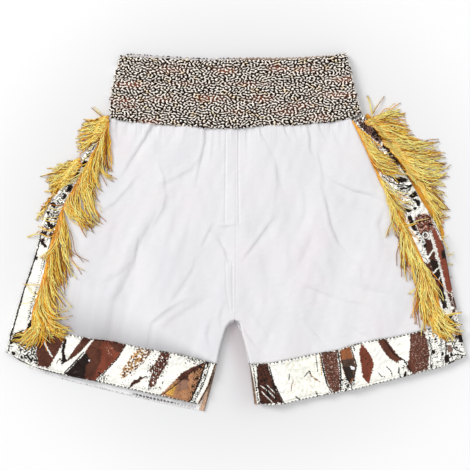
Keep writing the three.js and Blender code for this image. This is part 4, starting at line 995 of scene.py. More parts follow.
STRIPE_REFLECTION_LINES = {
    "left": [
        streak(BLACK, 0.5, 1.0, (41.5, 233), (36.5, 253), (30, 273), (24, 290), (17, 315), (11, 335), (9, 349)),
        streak(BLACK, 0.5, 0.35, (52, 238), (46, 256), (41, 275)),
        streak(BLACK, 0.5, 0.5, (83, 150), (90, 145), (95, 145.5)),
        streak(BLACK, 0.5, 0.5, (84, 151), (91, 151), (96, 147)),
        streak(BLACK, 0.5, 0.4, (80, 169), (85, 159), (90, 155)),
        streak(BLACK, 0.5, 0.4, (60, 200), (66, 192), (70, 183), (75, 182)),
        streak(BLACK, 0.5, 0.45, (49.5, 202), (54, 199.6), (59, 199)),
        streak(BLACK, 0.5, 0.4, (59, 199), (63.5, 204), (56, 208.6)),
        streak(BLACK, 0.5, 0.4, (55, 214.5), (50, 209), (46, 208.6)),
        streak(BLACK, 0.5, 0.4, (55, 214.5), (54, 209)),
        streak(BLACK, 0.5, 0.4, (55, 214.5), (58, 210)),
        streak(BLACK, 0.5, 0.4, (55, 214.5), (51.5, 218)),
        streak(BLACK, 0.5, 0.4, (45, 210), (51, 218.5), (58, 219)),
        streak(BLACK, 0.5, 0.9, (6, 352.6), (14, 358), (24, 363), (38, 369)),
        streak(srgb(214, 150, 60), 0.5, 0.6, (38, 224), (44, 228), (52, 229.6), (58, 226)),
        streak(srgb(190, 118, 50), 0.5, 0.6, (40, 231), (46, 229.6), (53, 231.6)),
    ],
    "right": [
        streak(BLACK, 0.5, 0.6, (383, 172.6), (388, 175.6), (394, 178.4)),
        streak(BLACK, 0.5, 0.6, (382.4, 176), (389, 181.5), (397, 184.6), (405, 184)),
        streak(BLACK, 0.5, 0.6, (382, 179.4), (388, 185), (395, 190), (403, 192), (410.6, 190)),
        streak(BLACK, 0.5, 0.5, (399, 194.5), (404, 195.5), (408, 194)),
        streak(BLACK, 0.5, 0.5, (413, 184), (409, 190), (404, 196)),
        streak(CREAM, 0.6, 0.4, (399, 187.6), (404, 186.6), (408, 187)),
        streak(CREAM, 0.8, 1.0, (430.5, 236), (434.6, 248), (438.6, 261), (442, 276), (446, 294), (449, 312)),
        streak(CREAM, 0.7, 0.8, (426.4, 260), (430, 254.6), (433.4, 250)),
        streak(CREAM, 0.7, 0.6, (432.5, 275), (436, 270), (439.4, 267)),
        streak(CREAM, 0.5, 0.4, (434, 278), (439, 280), (441, 276)),
        streak(BLACK, 0.5, 0.9, (365, 117), (375.5, 131), (388, 148), (400, 165), (411, 182)),
        streak(srgb(206, 140, 72), 0.5, 0.9, (368, 114.5), (379, 129), (392, 146), (405, 165), (418, 187), (430, 206), (441, 223)),
        streak(srgb(120, 80, 40), 0.5, 0.5, (370, 114), (381, 129), (394, 146), (407, 165), (420, 187), (432, 206), (443, 223)),
        streak(BLACK, 0.5, 0.6, (433, 222), (442, 238), (447, 260), (452, 284), (458, 308)),
        streak(BLACK, 0.5, 0.7, (445.5, 338), (446.5, 352), (446, 366)),
        streak(BLACK, 0.5, 0.7, (447, 358), (456, 354.6), (466, 355.6)),
        streak(BLACK, 0.5, 0.6, (448, 364), (457, 359), (466, 361)),
        streak(BLACK, 0.5, 0.6, (452, 342), (456, 350), (463, 352)),
        streak(BLACK, 0.5, 0.5, (455, 330), (458, 338), (454, 346)),
        streak(CREAM, 0.5, 0.8, (377.6, 147.4), (384.4, 140.4)),
        streak(CREAM, 0.5, 0.4, (385, 152.4), (390, 148.4)),
        streak(CREAM, 0.5, 0.4, (389.4, 157.6), (395, 153.8)),
    ],
}
STRIPES = {}
for side in ("left", "right"):
    L = side == "left"
    cap = "Left" if L else "Right"
    IN, OUT, BK = line("stripeIn" + cap), line("stripeOut" + cap), line("stripeBack" + cap)
    n = 520 // N
    A = smooth(IN, n, 1)
    B = smooth(OUT, n, 1)
    C = smooth(BK, n, 1)
    # rows are matched by how far down the leg they are, so that seams and fold stay side by side
    rows = []
    r = 2.6
    F, K = 46 // N + 6, 26 // N + 4
    u1 = np.linspace(0, 1, F)
    th = np.linspace(0, np.pi, 12)
    u2 = np.linspace(0, 1, K)
    ax = (B - A) / np.linalg.norm(B - A, axis=1)[:, None]
    bx = (C - B) / np.linalg.norm(C - B, axis=1)[:, None]
    Bc = B - ax * r
    plan = []
    zed = []
    zf = front_z(A[:, 0], A[:, 1])
    zs = np.clip(zf, 8.0, 12.5)
    zback = 2.5
    for u in u1:
        q = A * (1 - u) + Bc * u
        plan.append(q)
        zed.append(zs * (1 - u) + (zs - 0.6) * u)
    for t in th[1:]:
        plan.append(Bc + ax * (r * math.sin(t)))
        mid = (zs - 0.6 + zback) / 2
        zed.append(mid + (zs - 0.6 - zback) / 2 * math.cos(t))
    for u in u2[1:]:
        q = Bc * (1 - u) + C * u
        plan.append(q)
        zed.append(np.full(n, zback) - 1.0 * u)
    P2 = np.stack(plan)
    Z = np.stack(zed)
    X, Y = P2[..., 0], P2[..., 1]
    front_share = np.zeros(Z.shape)
    front_share[:F] = 1
    front_share[F:F + 11] = np.linspace(1, 0, 11)[:, None]
    w = front_share * step(np.r_[u1, np.ones(len(Z) - F)], 0, 0.12)[:, None]
    width = np.linalg.norm(B - A, axis=1)[None, :]
    Z = Z + w * foil_z(X, Y, 0.9)
    # a long crease down the stripe, deeper on the right
    if L:
        Z -= w * 0.7 * np.exp(-(to_line(X, Y, G((52, 238), (45, 262), (38, 288), (30, 315)))[0] / 1.1) ** 2)
    else:
        d, s, t = to_line(X, Y, G((428, 226), (433, 246), (439, 266), (443, 284), (447, 302), (450, 318)))
        Z += w * (1.0 * np.exp(-(d / 1.6) ** 2) - 0.6 * np.exp(-((s - 4) / 3) ** 2))
    upper = step(Y, -5 if L else 0, 30)
    Z += w * upper * (0.55 * crumple(X, Y) + 0.3 * crackle(X, Y))
    # stripe foil colour: painted reflections over cream, then specks and painted crease lines
    c = paint(X, Y, CREAM, STRIPE_REFLECTIONS[side], 0.45)
    c = paint_lines(X, Y, c, STRIPE_REFLECTION_LINES[side])
    if L:
        c = speckle(X, Y, c, [(104, 118), (112, 120), (70, 190), (58, 235), (38, 236), (60, 190)], BLACK, 0.75)
        c = painted_crease_light(X, Y, c, [(96, 140), (104, 142), (74, 186), (60, 206), (58, 234), (38, 236), (50, 206), (68, 178)], BLACK, 0.25)
        c = painted_crease_light(X, Y, c, [(38, 232), (56, 232), (50, 246), (40, 246)], BLACK, 0.3, 1.5)
        c = painted_crease_light(X, Y, c, [(34, 312), (44, 314), (42, 369), (2, 356), (10, 330), (24, 328)], BLACK, 0.26)
        c = speckle(X, Y, c, [(16, 342), (40, 338), (40, 368), (22, 360)], BLACK, -0.05, 2.0, 0.7)
        c = speckle(X, Y, c, [(36, 286), (42, 290), (36, 312), (28, 322), (26, 314)], BLACK, 0.5)
        dd2, _, tt2 = to_line(X, Y, G((43, 258), (38, 282), (31, 306), (27, 322)))
        dash = np.exp(-(dd2 / 0.75) ** 2) * step(np.sin(tt2 * 170), -0.1, 0.3)
        c = c * (1 - 0.9 * dash[..., None]) + BLACK * 0.9 * dash[..., None]
    else:
        c = painted_crease_light(X, Y, c, [(350, 110), (368, 108), (372, 124), (354, 124)], BLACK, 0.32)
        c = speckle(X, Y, c, [(352, 121), (364, 114), (402, 166), (396, 170), (360, 134)], GREYBR * 0.6, 0.35)
        c = speckle(X, Y, c, [(413, 215), (431, 211), (436, 228), (430, 235), (417, 236)], srgb(226, 190, 172), 0.6, 1.0)
        c = speckle(X + 9, Y - 7, c, [(413 + 6.4, 215 + 5), (431 + 6.4, 211 + 5), (436 + 6.4, 228 + 5), (430 + 6.4, 235 + 5), (417 + 6.4, 236 + 5)], BLACK, 0.7, 1.0)
        c = painted_crease_light(X, Y, c, [(398, 196), (420, 198), (424, 212), (412, 218), (404, 212)], BLACK, 0.16)
        c = painted_crease_light(X, Y, c, [(413, 215), (431, 211), (436, 228), (430, 235), (417, 236)], BLACK, 0.14)
        ring = np.hypot(X - (425.5 - 236) * U, Y - (233 - 235.2) * U) / U
        for colour, r0, r1 in ((BLACK, -1, 4.0), (CREAM, 2.1, 3.3), (GREYBR * 0.5, -1, 1.9), (CREAM, -1, 0.7)):
            k = (step(ring, r0 - 0.2, r0 + 0.2) * (1 - step(ring, r1 - 0.2, r1 + 0.2)))[..., None]
            c = c * (1 - k) + colour * k
        c = painted_crease_light(X, Y, c, [(414, 232), (426, 232), (429, 262), (423, 266)], BLACK, 0.3, 1.5)
        c = painted_crease_light(X, Y, c, [(436, 310), (460, 304), (470, 358), (438, 370)], BLACK, 0.24)
        c = painted_crease_light(X, Y, c, [(443, 288), (458, 290), (462, 314), (446, 314)], CREAM, 0.2, 1.5)
    # zigzag edge stitches beside the front fringe header
    dd = to_line(X, Y, IN)[0]
    kk = to_line(X, Y, IN)[2]
    length = np.hypot(*np.diff(np.array(IN), axis=0).T).sum()
    stitch = step(np.sin(kk * length * 2.4), 0.1, 0.5) * np.exp(-((dd - 1.2) / 1.0) ** 2) * front_share
    c = c * (1 - 0.8 * stitch[..., None]) + BLACK * 0.8 * stitch[..., None]
    P = np.dstack([X, Y, Z])
    o = grid_mesh(f"foil_stripe_{side}", P, c)
    me = o.data
    nn = np.zeros(len(me.polygons) * 3)
    me.polygons.foreach_get("normal", nn)
    nn = nn.reshape(-1, 3)[:, 2].reshape(P.shape[0] - 1, n - 1)
    if nn[:F - 4].mean() < 0:
        me.flip_normals()
    put(o, FOIL, "stripe_foil", f"side_stripe_{side}")
    thicken(o, 0.5)
    declare(P, flat=(None, 0.40))
    STRIPES[side] = P

# ---------------------------------------------------------------- waistband
ROWS = [0.12, 0.355, 0.59, 0.80]


def waist_patch(top_name, nu, nv, lo=0.0, hi=1.0, in_side=0.0):
    top, bottom = line(top_name), line("waistBottom")
    left, right = line("waistLeft")[::-1], line("waistRight")[::-1]
    T, B = smooth(top, nu), smooth(bottom, nu)
    Lw, Rw = resample(left, 200), resample(right, 200)
    u = np.linspace(0, 1, nu)[:, None]
    v = np.linspace(lo, hi, nv)[None, :]
    X = T[:, :1] * (1 - v) + B[:, :1] * v
    Y = T[:, 1:] * (1 - v) + B[:, 1:] * v
    k = np.linspace(0, 1, 200)
    lx, rx = np.interp(v[0], k, Lw[:, 0]), np.interp(v[0], k, Rw[:, 0])
    bl = lx - (T[0, 0] * (1 - v[0]) + B[0, 0] * v[0])
    br = rx - (T[-1, 0] * (1 - v[0]) + B[-1, 0] * v[0])
    X = X + (1 - u) * bl[None, :] + u * br[None, :] + in_side * (1 - 2 * u)
    return X, Y, u * np.ones_like(v), v * np.ones_like(u)


def shirr(X, Y, u, v):
    """Height of the gathered foil: channels between stitch rows, each filled with small curled pleats."""
    rows = [0.0] + ROWS + [1.0]
    puff = np.zeros(X.shape)
    for a, b in zip(rows[:-1], rows[1:]):
        m = (v >= a) & (v <= b)
        puff = np.where(m, np.sin(np.pi * np.clip((v - a) / (b - a), 0, 1)) ** 0.7, puff)
    wob = 1.5 * np.sin(v * 40 + X * 0.05)
    g = worm(X + wob, Y)
    return puff, g


def waist_painted_light(X, Y, u, v, puff, g):
    # painted reflection and shade: the curls g that raise the foil are painted white on their crests and black in their
    # hollows
    t = np.clip(0.45 + 0.72 * np.tanh(2.6 * (g - 0.24)) + 0.18 * crackle(X, Y), 0, 1)
    stops = np.array([0.0, 0.20, 0.38, 0.52, 0.68, 0.85, 1.0])
    cols = np.array([srgb(6, 2, 0), srgb(20, 10, 6), srgb(92, 66, 52), srgb(158, 134, 116), srgb(222, 208, 196), srgb(255, 250, 242), srgb(255, 255, 250)])
    c = np.stack([np.interp(t, stops, cols[:, i]) for i in range(3)], -1)
    gold = step(ripple(X * 0.9 + 300, Y * 2.1), 0.9, 1.8)[..., None] * step(t, 0.5, 0.9)[..., None]
    c = c * (1 - gold) + c * np.array([1.0, 0.90, 0.72]) * gold
    # warm painted shade: reddish brown patches laid only over the dark hollows
    warm_shade = np.zeros(X.shape)
    for x, y, rx, ry, a in [(130, 85, 16, 3, .8), (122, 101, 12, 3, .7), (209, 99, 14, 3, .95), (225, 71, 10, 3, .95), (278, 69, 9, 3, .9),
                            (262, 99, 12, 3, .7), (345, 80, 14, 3, .8), (335, 95, 16, 3, .8), (305, 70, 14, 3, .6), (250, 84, 22, 2, .5),
                            (160, 99, 16, 3, .5), (170, 70, 14, 4, .5), (150, 122, 10, 3, .7), (285, 112, 12, 3, .6), (300, 106, 14, 3, .5),
                            (186, 84, 16, 2, .4), (112, 66, 8, 3, .5), (236, 112, 10, 3, .4), (320, 118, 12, 3, .5), (128, 106, 12, 3, .4)]:
        (cx, cy), = G((x, y))
        warm_shade = np.maximum(warm_shade, a * np.exp(-((X - cx) / (rx * U)) ** 2 - ((Y - cy) / (ry * U)) ** 2))
    w = (warm_shade * step(1 - t, 0.05, 0.5))[..., None]
    c = c * (1 - w) + srgb(146, 84, 58) * w
    seam = np.zeros(X.shape)
    for r in ROWS:
        seam = np.maximum(seam, np.exp(-((v - r) * 100 / 0.9) ** 2))
    k = (0.22 * seam)[..., None]
    return (c * (1 - k) + srgb(60, 40, 30) * k) * np.array([1.0, 0.945, 0.90])


WAIST_NU, WAIST_NV = 800 // N, 240 // N
for face in ("front", "back"):
    X, Y, u, v = waist_patch("waistTop" + face.capitalize(), WAIST_NU, WAIST_NV)
    puff, g = shirr(X, Y, u, v)
    edge = np.minimum(np.abs(X - X[:1]), np.abs(X - X[-1:]))
    r = roll(edge, 4.0)
    topd = v * 100.0
    botd = (1 - v) * 100.0
    lift = 12.2 + 2.0 * puff + 1.25 * np.tanh(g) - 1.4 * np.exp(-(topd / 1.6) ** 2) - 1.9 * np.exp(-(botd / 2.4) ** 2)
    if face == "front":
        lift = lift + 0.8 * np.sin(np.pi * u) - 0.3
        Z = 6.4 + (lift - 6.4) * r
    else:
        low = 1.3 - 0.5 * np.tanh(0.5 * g)
        Z = 6.4 + (low - 6.4) * r
    c = waist_painted_light(X, Y, u, v, puff, g)
    # painted shade inside the back layer: a brownish grey band over the right part of the back shell
    if face == "back":
        k = (0.8 * step(u, 0.42, 0.6) * (1 - step(u, 0.9, 0.97)))[..., None]
        c = c * (1 - k) + srgb(168, 140, 122) * k
    # the free upper edge is scalloped by the gathers
    Y = Y + (v < 0.06) * (0.06 - v) / 0.06 * 0.9 * np.sin(X * 1.05 + 2 * np.sin(X * 0.3))
    Y = Y + (v > 0.95) * (v - 0.95) / 0.05 * 1.0 * np.sin(X * 0.9 + 2 * np.sin(X * 0.23))
    side_in = np.exp(-u * 40) - np.exp(-(1 - u) * 40)
    X = X + side_in * (0.9 + 0.9 * np.sin(v * 34 + 1.5 * np.sin(v * 9)) + 0.5 * np.sin(v * 71))
    P = np.dstack([X, Y, Z])
    o = face_up(grid_mesh(f"waistband_{face}", P, c), face == "front")
    put(o, WAIST, "waist_foil", f"waistband_{face}_shell")
    thicken(o, 0.6)
    declare(P, flat=(0.52, 0.104))
    # lining
    X, Y, u, v = waist_patch("waistTop" + face.capitalize(), 300 // N, 60 // N, 0.012, 0.985, 3.2)
    edge = np.minimum(np.abs(X - X[:1]), np.abs(X - X[-1:]))
    r = roll(edge, 3.0)
    gath = 0.35 * np.sin(X * 1.1 + 1.5 * np.sin(X * 0.11)) + 0.2 * np.sin(X * 2.3)
    for q in ROWS:
        gath = gath * (1 - 0.7 * np.exp(-((v - q) * 100 / 1.5) ** 2))
    if face == "front":
        Z = 6.4 + (9.3 + gath - 6.4) * r
    else:
        Z = 6.4 + (3.7 - gath - 6.4) * r
    # painted shade: the lining turns brownish over its right half
    warm_shade = step(u, 0.45, 0.6)[..., None]
    c = srgb(226, 222, 220) * (1 - warm_shade) + srgb(176, 150, 128) * warm_shade
    c = np.broadcast_to(c, X.shape + (3,))
    P = np.dstack([X, Y, Z])
    o = face_up(grid_mesh(f"waist_lining_{face}", P, c), face == "back")
    put(o, LINING, "lining", f"waistband_{face}_lining")
    thicken(o, 0.4)
    declare(P, flat=(0.46, 0.1))

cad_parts["waistband_elastic"].data.materials.clear()
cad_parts["waistband_elastic"].data.materials.append(ELASTIC)

# ---------------------------------------------------------------- fringe
# Each section: number of strands, then guide lines from the header to the tips (grid units). Strands run between guides.
# "lie" says how the section lies: "front" on the shorts, "out" from the folded side down to the floor, "under" below it.
FLOW = {
    "fringe_left_front_1": (115, "front", [
        [(108.5, 120), (108, 132), (107.5, 144), (106, 156), (103, 168)],
        [(108, 124), (106, 137), (104.5, 150), (102, 163), (104, 171)],
        [(106, 129), (103, 142), (100, 156), (97, 168), (97, 178)],
        [(103, 135), (99.5, 148), (96, 161), (94, 173), (97, 186)],
        [(100, 141), (96, 154), (92, 167), (91, 179), (94, 190)],
        [(96, 149), (92.5, 161), (89, 174), (88, 185), (90, 194)],
        [(91, 158), (88, 170), (85, 181), (85, 190), (87, 197)],
        [(86, 168), (84, 178), (81, 188), (80, 194), (80, 199)]], [
        [(104, 132), (101, 152), (99, 165), (106, 174), (117, 178.5)],
        [(103, 134), (99, 152), (99, 167), (107, 177), (114, 181)],
        [(102, 138), (98, 155), (97, 168), (104, 174), (112, 176)],
        [(103, 133), (101, 150), (98, 163), (103, 172), (111, 178)],
        [(102, 140), (99, 158), (95, 170), (96, 181), (100, 190)],
        [(99, 148), (96, 165), (94, 178), (98, 186), (101, 186)]]),
    "fringe_left_front_2": (105, "front", [
        [(84, 173), (88, 181), (92, 189), (95, 194), (97, 199)],
        [(83, 175), (87, 185), (90, 195), (92, 205), (94, 214)],
        [(81, 178), (86, 190), (89, 203), (92, 214), (96, 222)],
        [(79, 181), (83, 190), (87, 204), (90, 216), (93, 226)],
        [(76, 186), (76, 196), (76, 206), (82, 216), (91, 226)],
        [(72, 192), (72, 202), (75, 211), (83, 219), (91, 226)],
        [(69, 198), (70, 207), (75, 214), (82, 220), (90, 226)],
        [(66, 204), (67, 210), (72, 215), (79, 219), (86, 223)],
        [(63.5, 208), (65, 213), (69, 216), (73, 219), (78, 221)]], [
        [(80, 181), (87, 198), (91, 209), (96, 213), (100, 217)],
        [(78, 184), (84, 200), (89, 210), (93, 220), (100, 226)],
        [(74, 190), (77, 206), (85, 217), (90, 225), (94, 233)],
        [(72, 194), (75, 209), (84, 218), (92, 225), (99, 225)],
        [(83, 176), (90, 190), (94, 201), (95, 209), (99, 216)],
        [(75, 188), (78, 206), (86, 216), (91, 225), (93, 230)],
        [(83, 177), (89, 187), (94, 193), (97, 197)]]),
    "fringe_left_front_3": (125, "front", [
        [(63, 210), (66, 221), (67.5, 232), (67.5, 243), (67, 254)],
        [(61.5, 215), (64, 227), (66, 240), (66.5, 252), (66, 264)],
        [(60, 221), (62, 234), (64, 247), (65, 260), (66, 272)],
        [(58, 228), (59, 241), (61, 254), (63, 266), (64, 278)],
        [(56, 236), (56, 248), (58, 260), (59, 272), (61, 284)],
        [(53.5, 244), (53, 255), (54, 267), (55, 279), (56, 291)],
        [(51, 253), (50, 264), (50, 276), (51, 288), (52, 299)],
        [(48.5, 262), (47, 273), (46, 284), (47, 295), (48, 305)]], [
        [(63, 236), (68, 247), (75, 254), (82, 258), (89, 261.5)],
        [(62, 246), (67, 256), (73, 263), (79, 267), (85, 270.5)],
        [(62, 252), (66, 262), (70, 270), (74, 276), (77, 279.5)],
        [(60, 226), (57, 238), (51, 247), (45, 253), (40, 257.5)],
        [(61, 230), (58, 240), (52, 249), (46, 254), (41, 258)],
        [(59, 232), (56, 242), (50, 250), (44, 255), (39, 258)],
        [(60, 234), (57, 244), (52, 251), (47, 256), (43, 260)],
        [(61, 238), (58, 246), (53, 252), (48, 257), (44, 260)],
        [(63, 264), (65, 272), (66, 281), (66, 288)],
        [(62, 262), (63, 276), (65, 287), (65, 294)]]),
    "fringe_left_front_4": (105, "front", [
        [(47, 268), (52, 279), (57, 289), (61, 297), (63, 303)],
        [(46, 271), (49, 282), (52, 293), (54, 303), (57, 312)],
        [(44.5, 276), (46, 287), (48, 298), (50, 309), (53, 319)],
        [(43, 281), (43.5, 292), (45, 303), (48, 314), (54, 322)],
        [(41.5, 286), (41.5, 297), (44, 308), (50, 318), (58, 324)],
        [(40, 291), (40, 302), (43, 313), (50, 322), (59, 328)],
        [(38.5, 297), (38, 308), (41, 319), (47, 327), (56, 332)],
        [(37, 303), (36, 314), (38, 324), (43, 332), (49, 336)],
        [(35.5, 308), (34.5, 318), (36, 328), (39, 335), (42, 340)]], [
        [(44, 284), (47, 302), (53, 313), (62, 313), (73, 306)],
        [(43, 287), (47, 305), (54, 315), (63, 312), (69, 310.5)],
        [(42, 290), (47, 310), (55, 318), (64, 318), (73, 315.5)],
        [(45, 282), (50, 298), (56, 308), (60, 311), (64, 308)],
        [(47, 276), (54, 290), (60, 299), (63, 303), (63.5, 308)],
        [(44, 283), (38, 285), (31, 284), (23, 283.5)],
        [(41, 291), (36, 299), (28, 303), (20, 304)],
        [(42, 287), (37, 295), (33, 292), (26, 284)]]),
    "fringe_left_front_end": (92, "front", [
        [(50, 321), (56, 325), (61, 328), (65, 330), (71, 331.5)],
        [(48, 321), (52, 327), (57, 331), (61, 333), (66, 335)],
        [(46, 320), (48, 328), (52, 333), (56, 336), (61, 338)],
        [(44, 318), (43, 327), (44, 334), (44, 339), (43, 344)],
        [(42, 317), (41, 326), (40, 334), (36, 341), (31, 347)],
        [(40, 316), (39, 325), (36, 333), (31, 340), (24, 345)],
        [(38, 316), (37, 324), (33, 331), (27, 337), (19, 341)],
        [(36, 316), (35, 323), (31, 330), (24, 336), (15, 340)]], [
        [(46, 316), (54, 322), (62, 325), (68, 329), (74.5, 330.5)],
        [(44, 317), (52, 326), (59, 331), (64, 334), (68, 337)],
        [(47, 318), (55, 321), (62, 324), (68, 327), (72, 331)],
        [(42, 319), (40, 332), (35, 341), (30, 350)],
        [(41, 319), (38, 331), (32, 340), (27, 348)],
        [(37, 318), (34, 329), (26, 337), (12, 341)],
        [(36, 318), (32, 328), (24, 334), (13, 337)],
        [(38, 318), (35, 330), (27, 339), (18, 346.5)],
        [(43, 319), (43, 331), (38, 339), (33, 346)]]),
    "fringe_left_back_1": (62, "out", [
        [(104, 117), (99, 119), (94, 120), (89, 121), (85, 122)],
        [(104, 120), (97, 122), (91, 123), (86, 124), (82, 125)],
        [(103, 123), (96, 125), (90, 127), (85, 128), (81, 130)],
        [(102, 127), (95, 129), (89, 131), (84, 133), (78, 135)],
        [(100, 131), (93, 134), (87, 136), (82, 138), (78, 140)],
        [(98, 135), (92, 138), (87, 140), (82, 142), (77, 143)],
        [(96, 139), (90, 142), (86, 144), (82, 146), (79, 148)],
        [(93, 143), (88, 145), (84, 147), (81, 149), (78, 151)]], [
        [(102, 116.5), (98, 113), (94, 109), (91, 106.5)],
        [(103, 116), (99, 112), (96, 109), (93, 106)],
        [(101, 122), (93, 121), (86, 123), (81, 124.5)],
        [(98, 137), (89, 140), (82, 142), (75, 143)],
        [(95, 141), (87, 145), (81, 149), (76, 151)],
        [(99, 131), (90, 133), (83, 134), (76.5, 136)]]),
    "fringe_left_back_2": (62, "out", [
        [(76, 159), (73, 160), (70, 161), (68, 161), (66, 161.5)],
        [(75, 162), (70, 163), (66, 164), (62, 164), (59, 165)],
        [(73, 165), (67, 166), (62, 167), (57, 168), (53, 169)],
        [(71, 168), (65, 170), (59, 171), (54, 172), (49, 173)],
        [(69, 171), (63, 174), (57, 175), (52, 177), (47, 178)],
        [(67, 175), (61, 178), (56, 179), (51, 181), (47, 183)],
        [(64, 178), (59, 181), (55, 183), (51, 184), (48, 186)],
        [(61, 182), (57, 185), (54, 187), (51, 189), (49, 190)],
        [(57, 187), (55, 190), (53, 192), (52, 194), (52, 196)]], [
        [(69, 170), (60, 172), (50, 173), (39, 176)],
        [(60, 184), (55, 189), (49, 191), (43.5, 191.5)],
        [(73, 162), (70, 161), (66, 160.5)],
        [(66, 174), (58, 177), (51, 179), (45, 182)],
        [(72, 166), (64, 167), (56, 168.5)]]),
    "fringe_left_back_3": (18, "out", [
        [(55.5, 191.5), (52, 195), (49, 197), (46, 199)],
        [(51, 198), (48, 201), (45, 204), (43, 206)],
        [(47, 205), (44, 208), (41, 211), (39, 214)],
        [(44, 211), (41, 215), (38, 219), (36, 223)]], [
        [(45, 207), (41, 212), (38, 216), (35, 220)],
        [(38.5, 231), (34, 234.5), (30, 236), (26, 237)]]),
    "fringe_left_back_4": (26, "under", [
        [(42.5, 258), (40, 263), (38, 268), (36, 273)],
        [(37, 275), (34, 282), (32, 288), (30, 294)],
        [(31, 296), (28, 303), (25, 310), (23, 316)],
        [(26, 318), (22, 325), (19, 332), (17, 338)]], []),
    "fringe_right_front_1": (80, "front", [
        [(356, 126), (361, 132), (366, 137), (371, 142), (375, 148)],
        [(358, 131), (363, 138), (369, 143), (375, 149), (381, 153)],
        [(361, 137), (366, 144), (372, 150), (379, 154), (386, 158)],
        [(363.5, 143), (368, 150), (375, 156), (383, 160), (392, 163)],
        [(366, 149), (371, 156), (378, 161), (387, 165), (396, 168)],
        [(369, 155), (374, 161), (381, 166), (390, 169), (400, 172)],
        [(371.5, 161), (376, 166), (383, 170), (393, 172), (403, 175)],
        [(374, 166), (378, 169), (384, 172), (390, 174), (397, 174)]], [
        [(366, 150), (374, 156), (384, 157), (391, 160)],
        [(370, 158), (380, 168), (393, 172), (407, 176)],
        [(357, 130), (365, 140), (372, 149), (379, 155)]]),
    "fringe_right_front_2": (92, "front", [
        [(377, 174), (382, 182), (388, 190), (395, 197), (403, 202)],
        [(379, 178), (384, 187), (390, 195), (396, 202), (403, 208)],
        [(382, 183), (386, 192), (391, 200), (396, 208), (402, 216)],
        [(384.5, 188), (388, 197), (391, 206), (396, 214), (401, 222)],
        [(387.5, 194), (390, 203), (392, 213), (396, 221), (401, 229)],
        [(390, 200), (391, 210), (394, 220), (399, 229), (404, 238)],
        [(394, 208), (396, 217), (400, 226), (405, 234), (411, 243)],
        [(399, 215), (402, 223), (406, 232), (411, 240), (415, 248)]], [
        [(390, 201), (393, 212), (392, 222), (388, 230), (386, 238)],
        [(391, 204), (394, 214), (393, 223), (390, 229), (388, 236)],
        [(380, 182), (388, 192), (398, 200), (409, 204)],
        [(383, 186), (390, 196), (397, 204), (406, 210)]]),
    "fringe_right_front_3": (125, "front", [
        [(402, 221), (401, 231), (401, 241), (402, 251), (403, 262)],
        [(404, 226), (404, 237), (404, 248), (406, 259), (409, 270)],
        [(406.5, 231), (408, 243), (410, 254), (413, 265), (417, 276)],
        [(409, 237), (412, 249), (415, 260), (419, 270), (423, 281)],
        [(412, 243), (416, 254), (420, 265), (424, 275), (428, 286)],
        [(415, 249), (419, 260), (424, 270), (428, 281), (432, 292)],
        [(418, 256), (423, 266), (427, 276), (431, 286), (435, 297)],
        [(421, 263), (426, 272), (430, 282), (434, 292), (437, 302)]], [
        [(405, 240), (403, 252), (404, 266), (405, 274), (407, 281.5)],
        [(403, 232), (403, 246), (403, 258), (401, 268)],
        [(412, 262), (412, 272), (413, 280), (415, 286)],
        [(418, 280), (416, 287), (413, 291), (408.5, 294)],
        [(409, 252), (412, 265), (414, 276), (417, 285)],
        [(412, 225), (404, 226), (397, 224)]]),
    "fringe_right_front_4": (110, "front", [
        [(420, 270), (418, 281), (417, 292), (418, 303), (419, 314)],
        [(422, 274), (420, 286), (419, 297), (420, 309), (422, 321)],
        [(424, 278), (423, 290), (423, 302), (425, 314), (430, 325)],
        [(426.5, 282), (427, 294), (428, 306), (431, 317), (437, 327)],
        [(429, 287), (430, 299), (433, 310), (438, 320), (444, 329)],
        [(431, 292), (434, 303), (438, 313), (443, 322), (449, 330)],
        [(434, 298), (437, 308), (442, 317), (448, 325), (454, 331)]], [
        [(421, 286), (420, 302), (423, 318), (421, 336)],
        [(423, 284), (423, 304), (425, 320), (424, 330)],
        [(430, 290), (434, 310), (444, 325), (457, 329)]]),
    "fringe_right_front_end": (62, "front", [
        [(435, 308), (440, 317), (446, 325), (452, 330), (458, 332)],
        [(433, 310), (438, 319), (444, 327), (450, 332), (456, 335)],
        [(432, 313), (436, 322), (441, 330), (447, 334), (452, 338)],
        [(431, 316), (434, 324), (438, 331), (442, 335), (446, 338)],
        [(429, 318), (431, 324), (434, 330), (437, 333), (441, 335)]], [
        [(440, 316), (447, 326), (456, 330), (465, 330)],
        [(441, 318), (448, 327), (455, 325), (462, 324)],
        [(438, 320), (446, 331), (451, 336), (452, 342)],
        [(444, 317), (451, 315), (456, 314), (461, 313)],
        [(444, 316), (450, 313), (456, 313), (462, 312)]]),
    "fringe_right_back_1": (82, "out", [
        [(373, 118), (379, 115), (385, 112), (391, 110), (397, 109)],
        [(374, 120), (382, 116), (389, 113), (397, 112), (404, 111)],
        [(376, 122), (384, 119), (391, 117), (398, 116), (404, 115)],
        [(379, 125), (387, 125), (394, 126), (401, 127), (408, 129)],
        [(382, 128), (390, 129), (398, 131), (405, 132), (412, 133)],
        [(385, 132), (393, 134), (401, 135), (409, 137), (417, 139)],
        [(388, 136), (397, 138), (405, 140), (414, 141), (422, 143)],
        [(391, 140), (400, 142), (409, 143), (418, 145), (427, 146)]], [
        [(371, 120), (373, 113), (371, 104), (368, 95)],
        [(371, 118), (375, 110), (380, 102), (385, 95.5)],
        [(376, 122), (386, 120), (396, 122), (405, 125)],
        [(375, 121), (386, 115), (394, 112), (400, 109)],
        [(381, 125), (392, 125), (401, 127), (410, 129)]]),
    "fringe_right_back_2": (112, "out", [
        [(393, 142), (403, 143), (413, 144), (423, 144), (433, 144)],
        [(395, 146), (405, 147), (415, 148), (426, 148), (437, 149)],
        [(398, 149), (408, 151), (418, 152), (429, 153), (440, 154)],
        [(400, 152), (411, 155), (421, 157), (432, 158), (444, 158)],
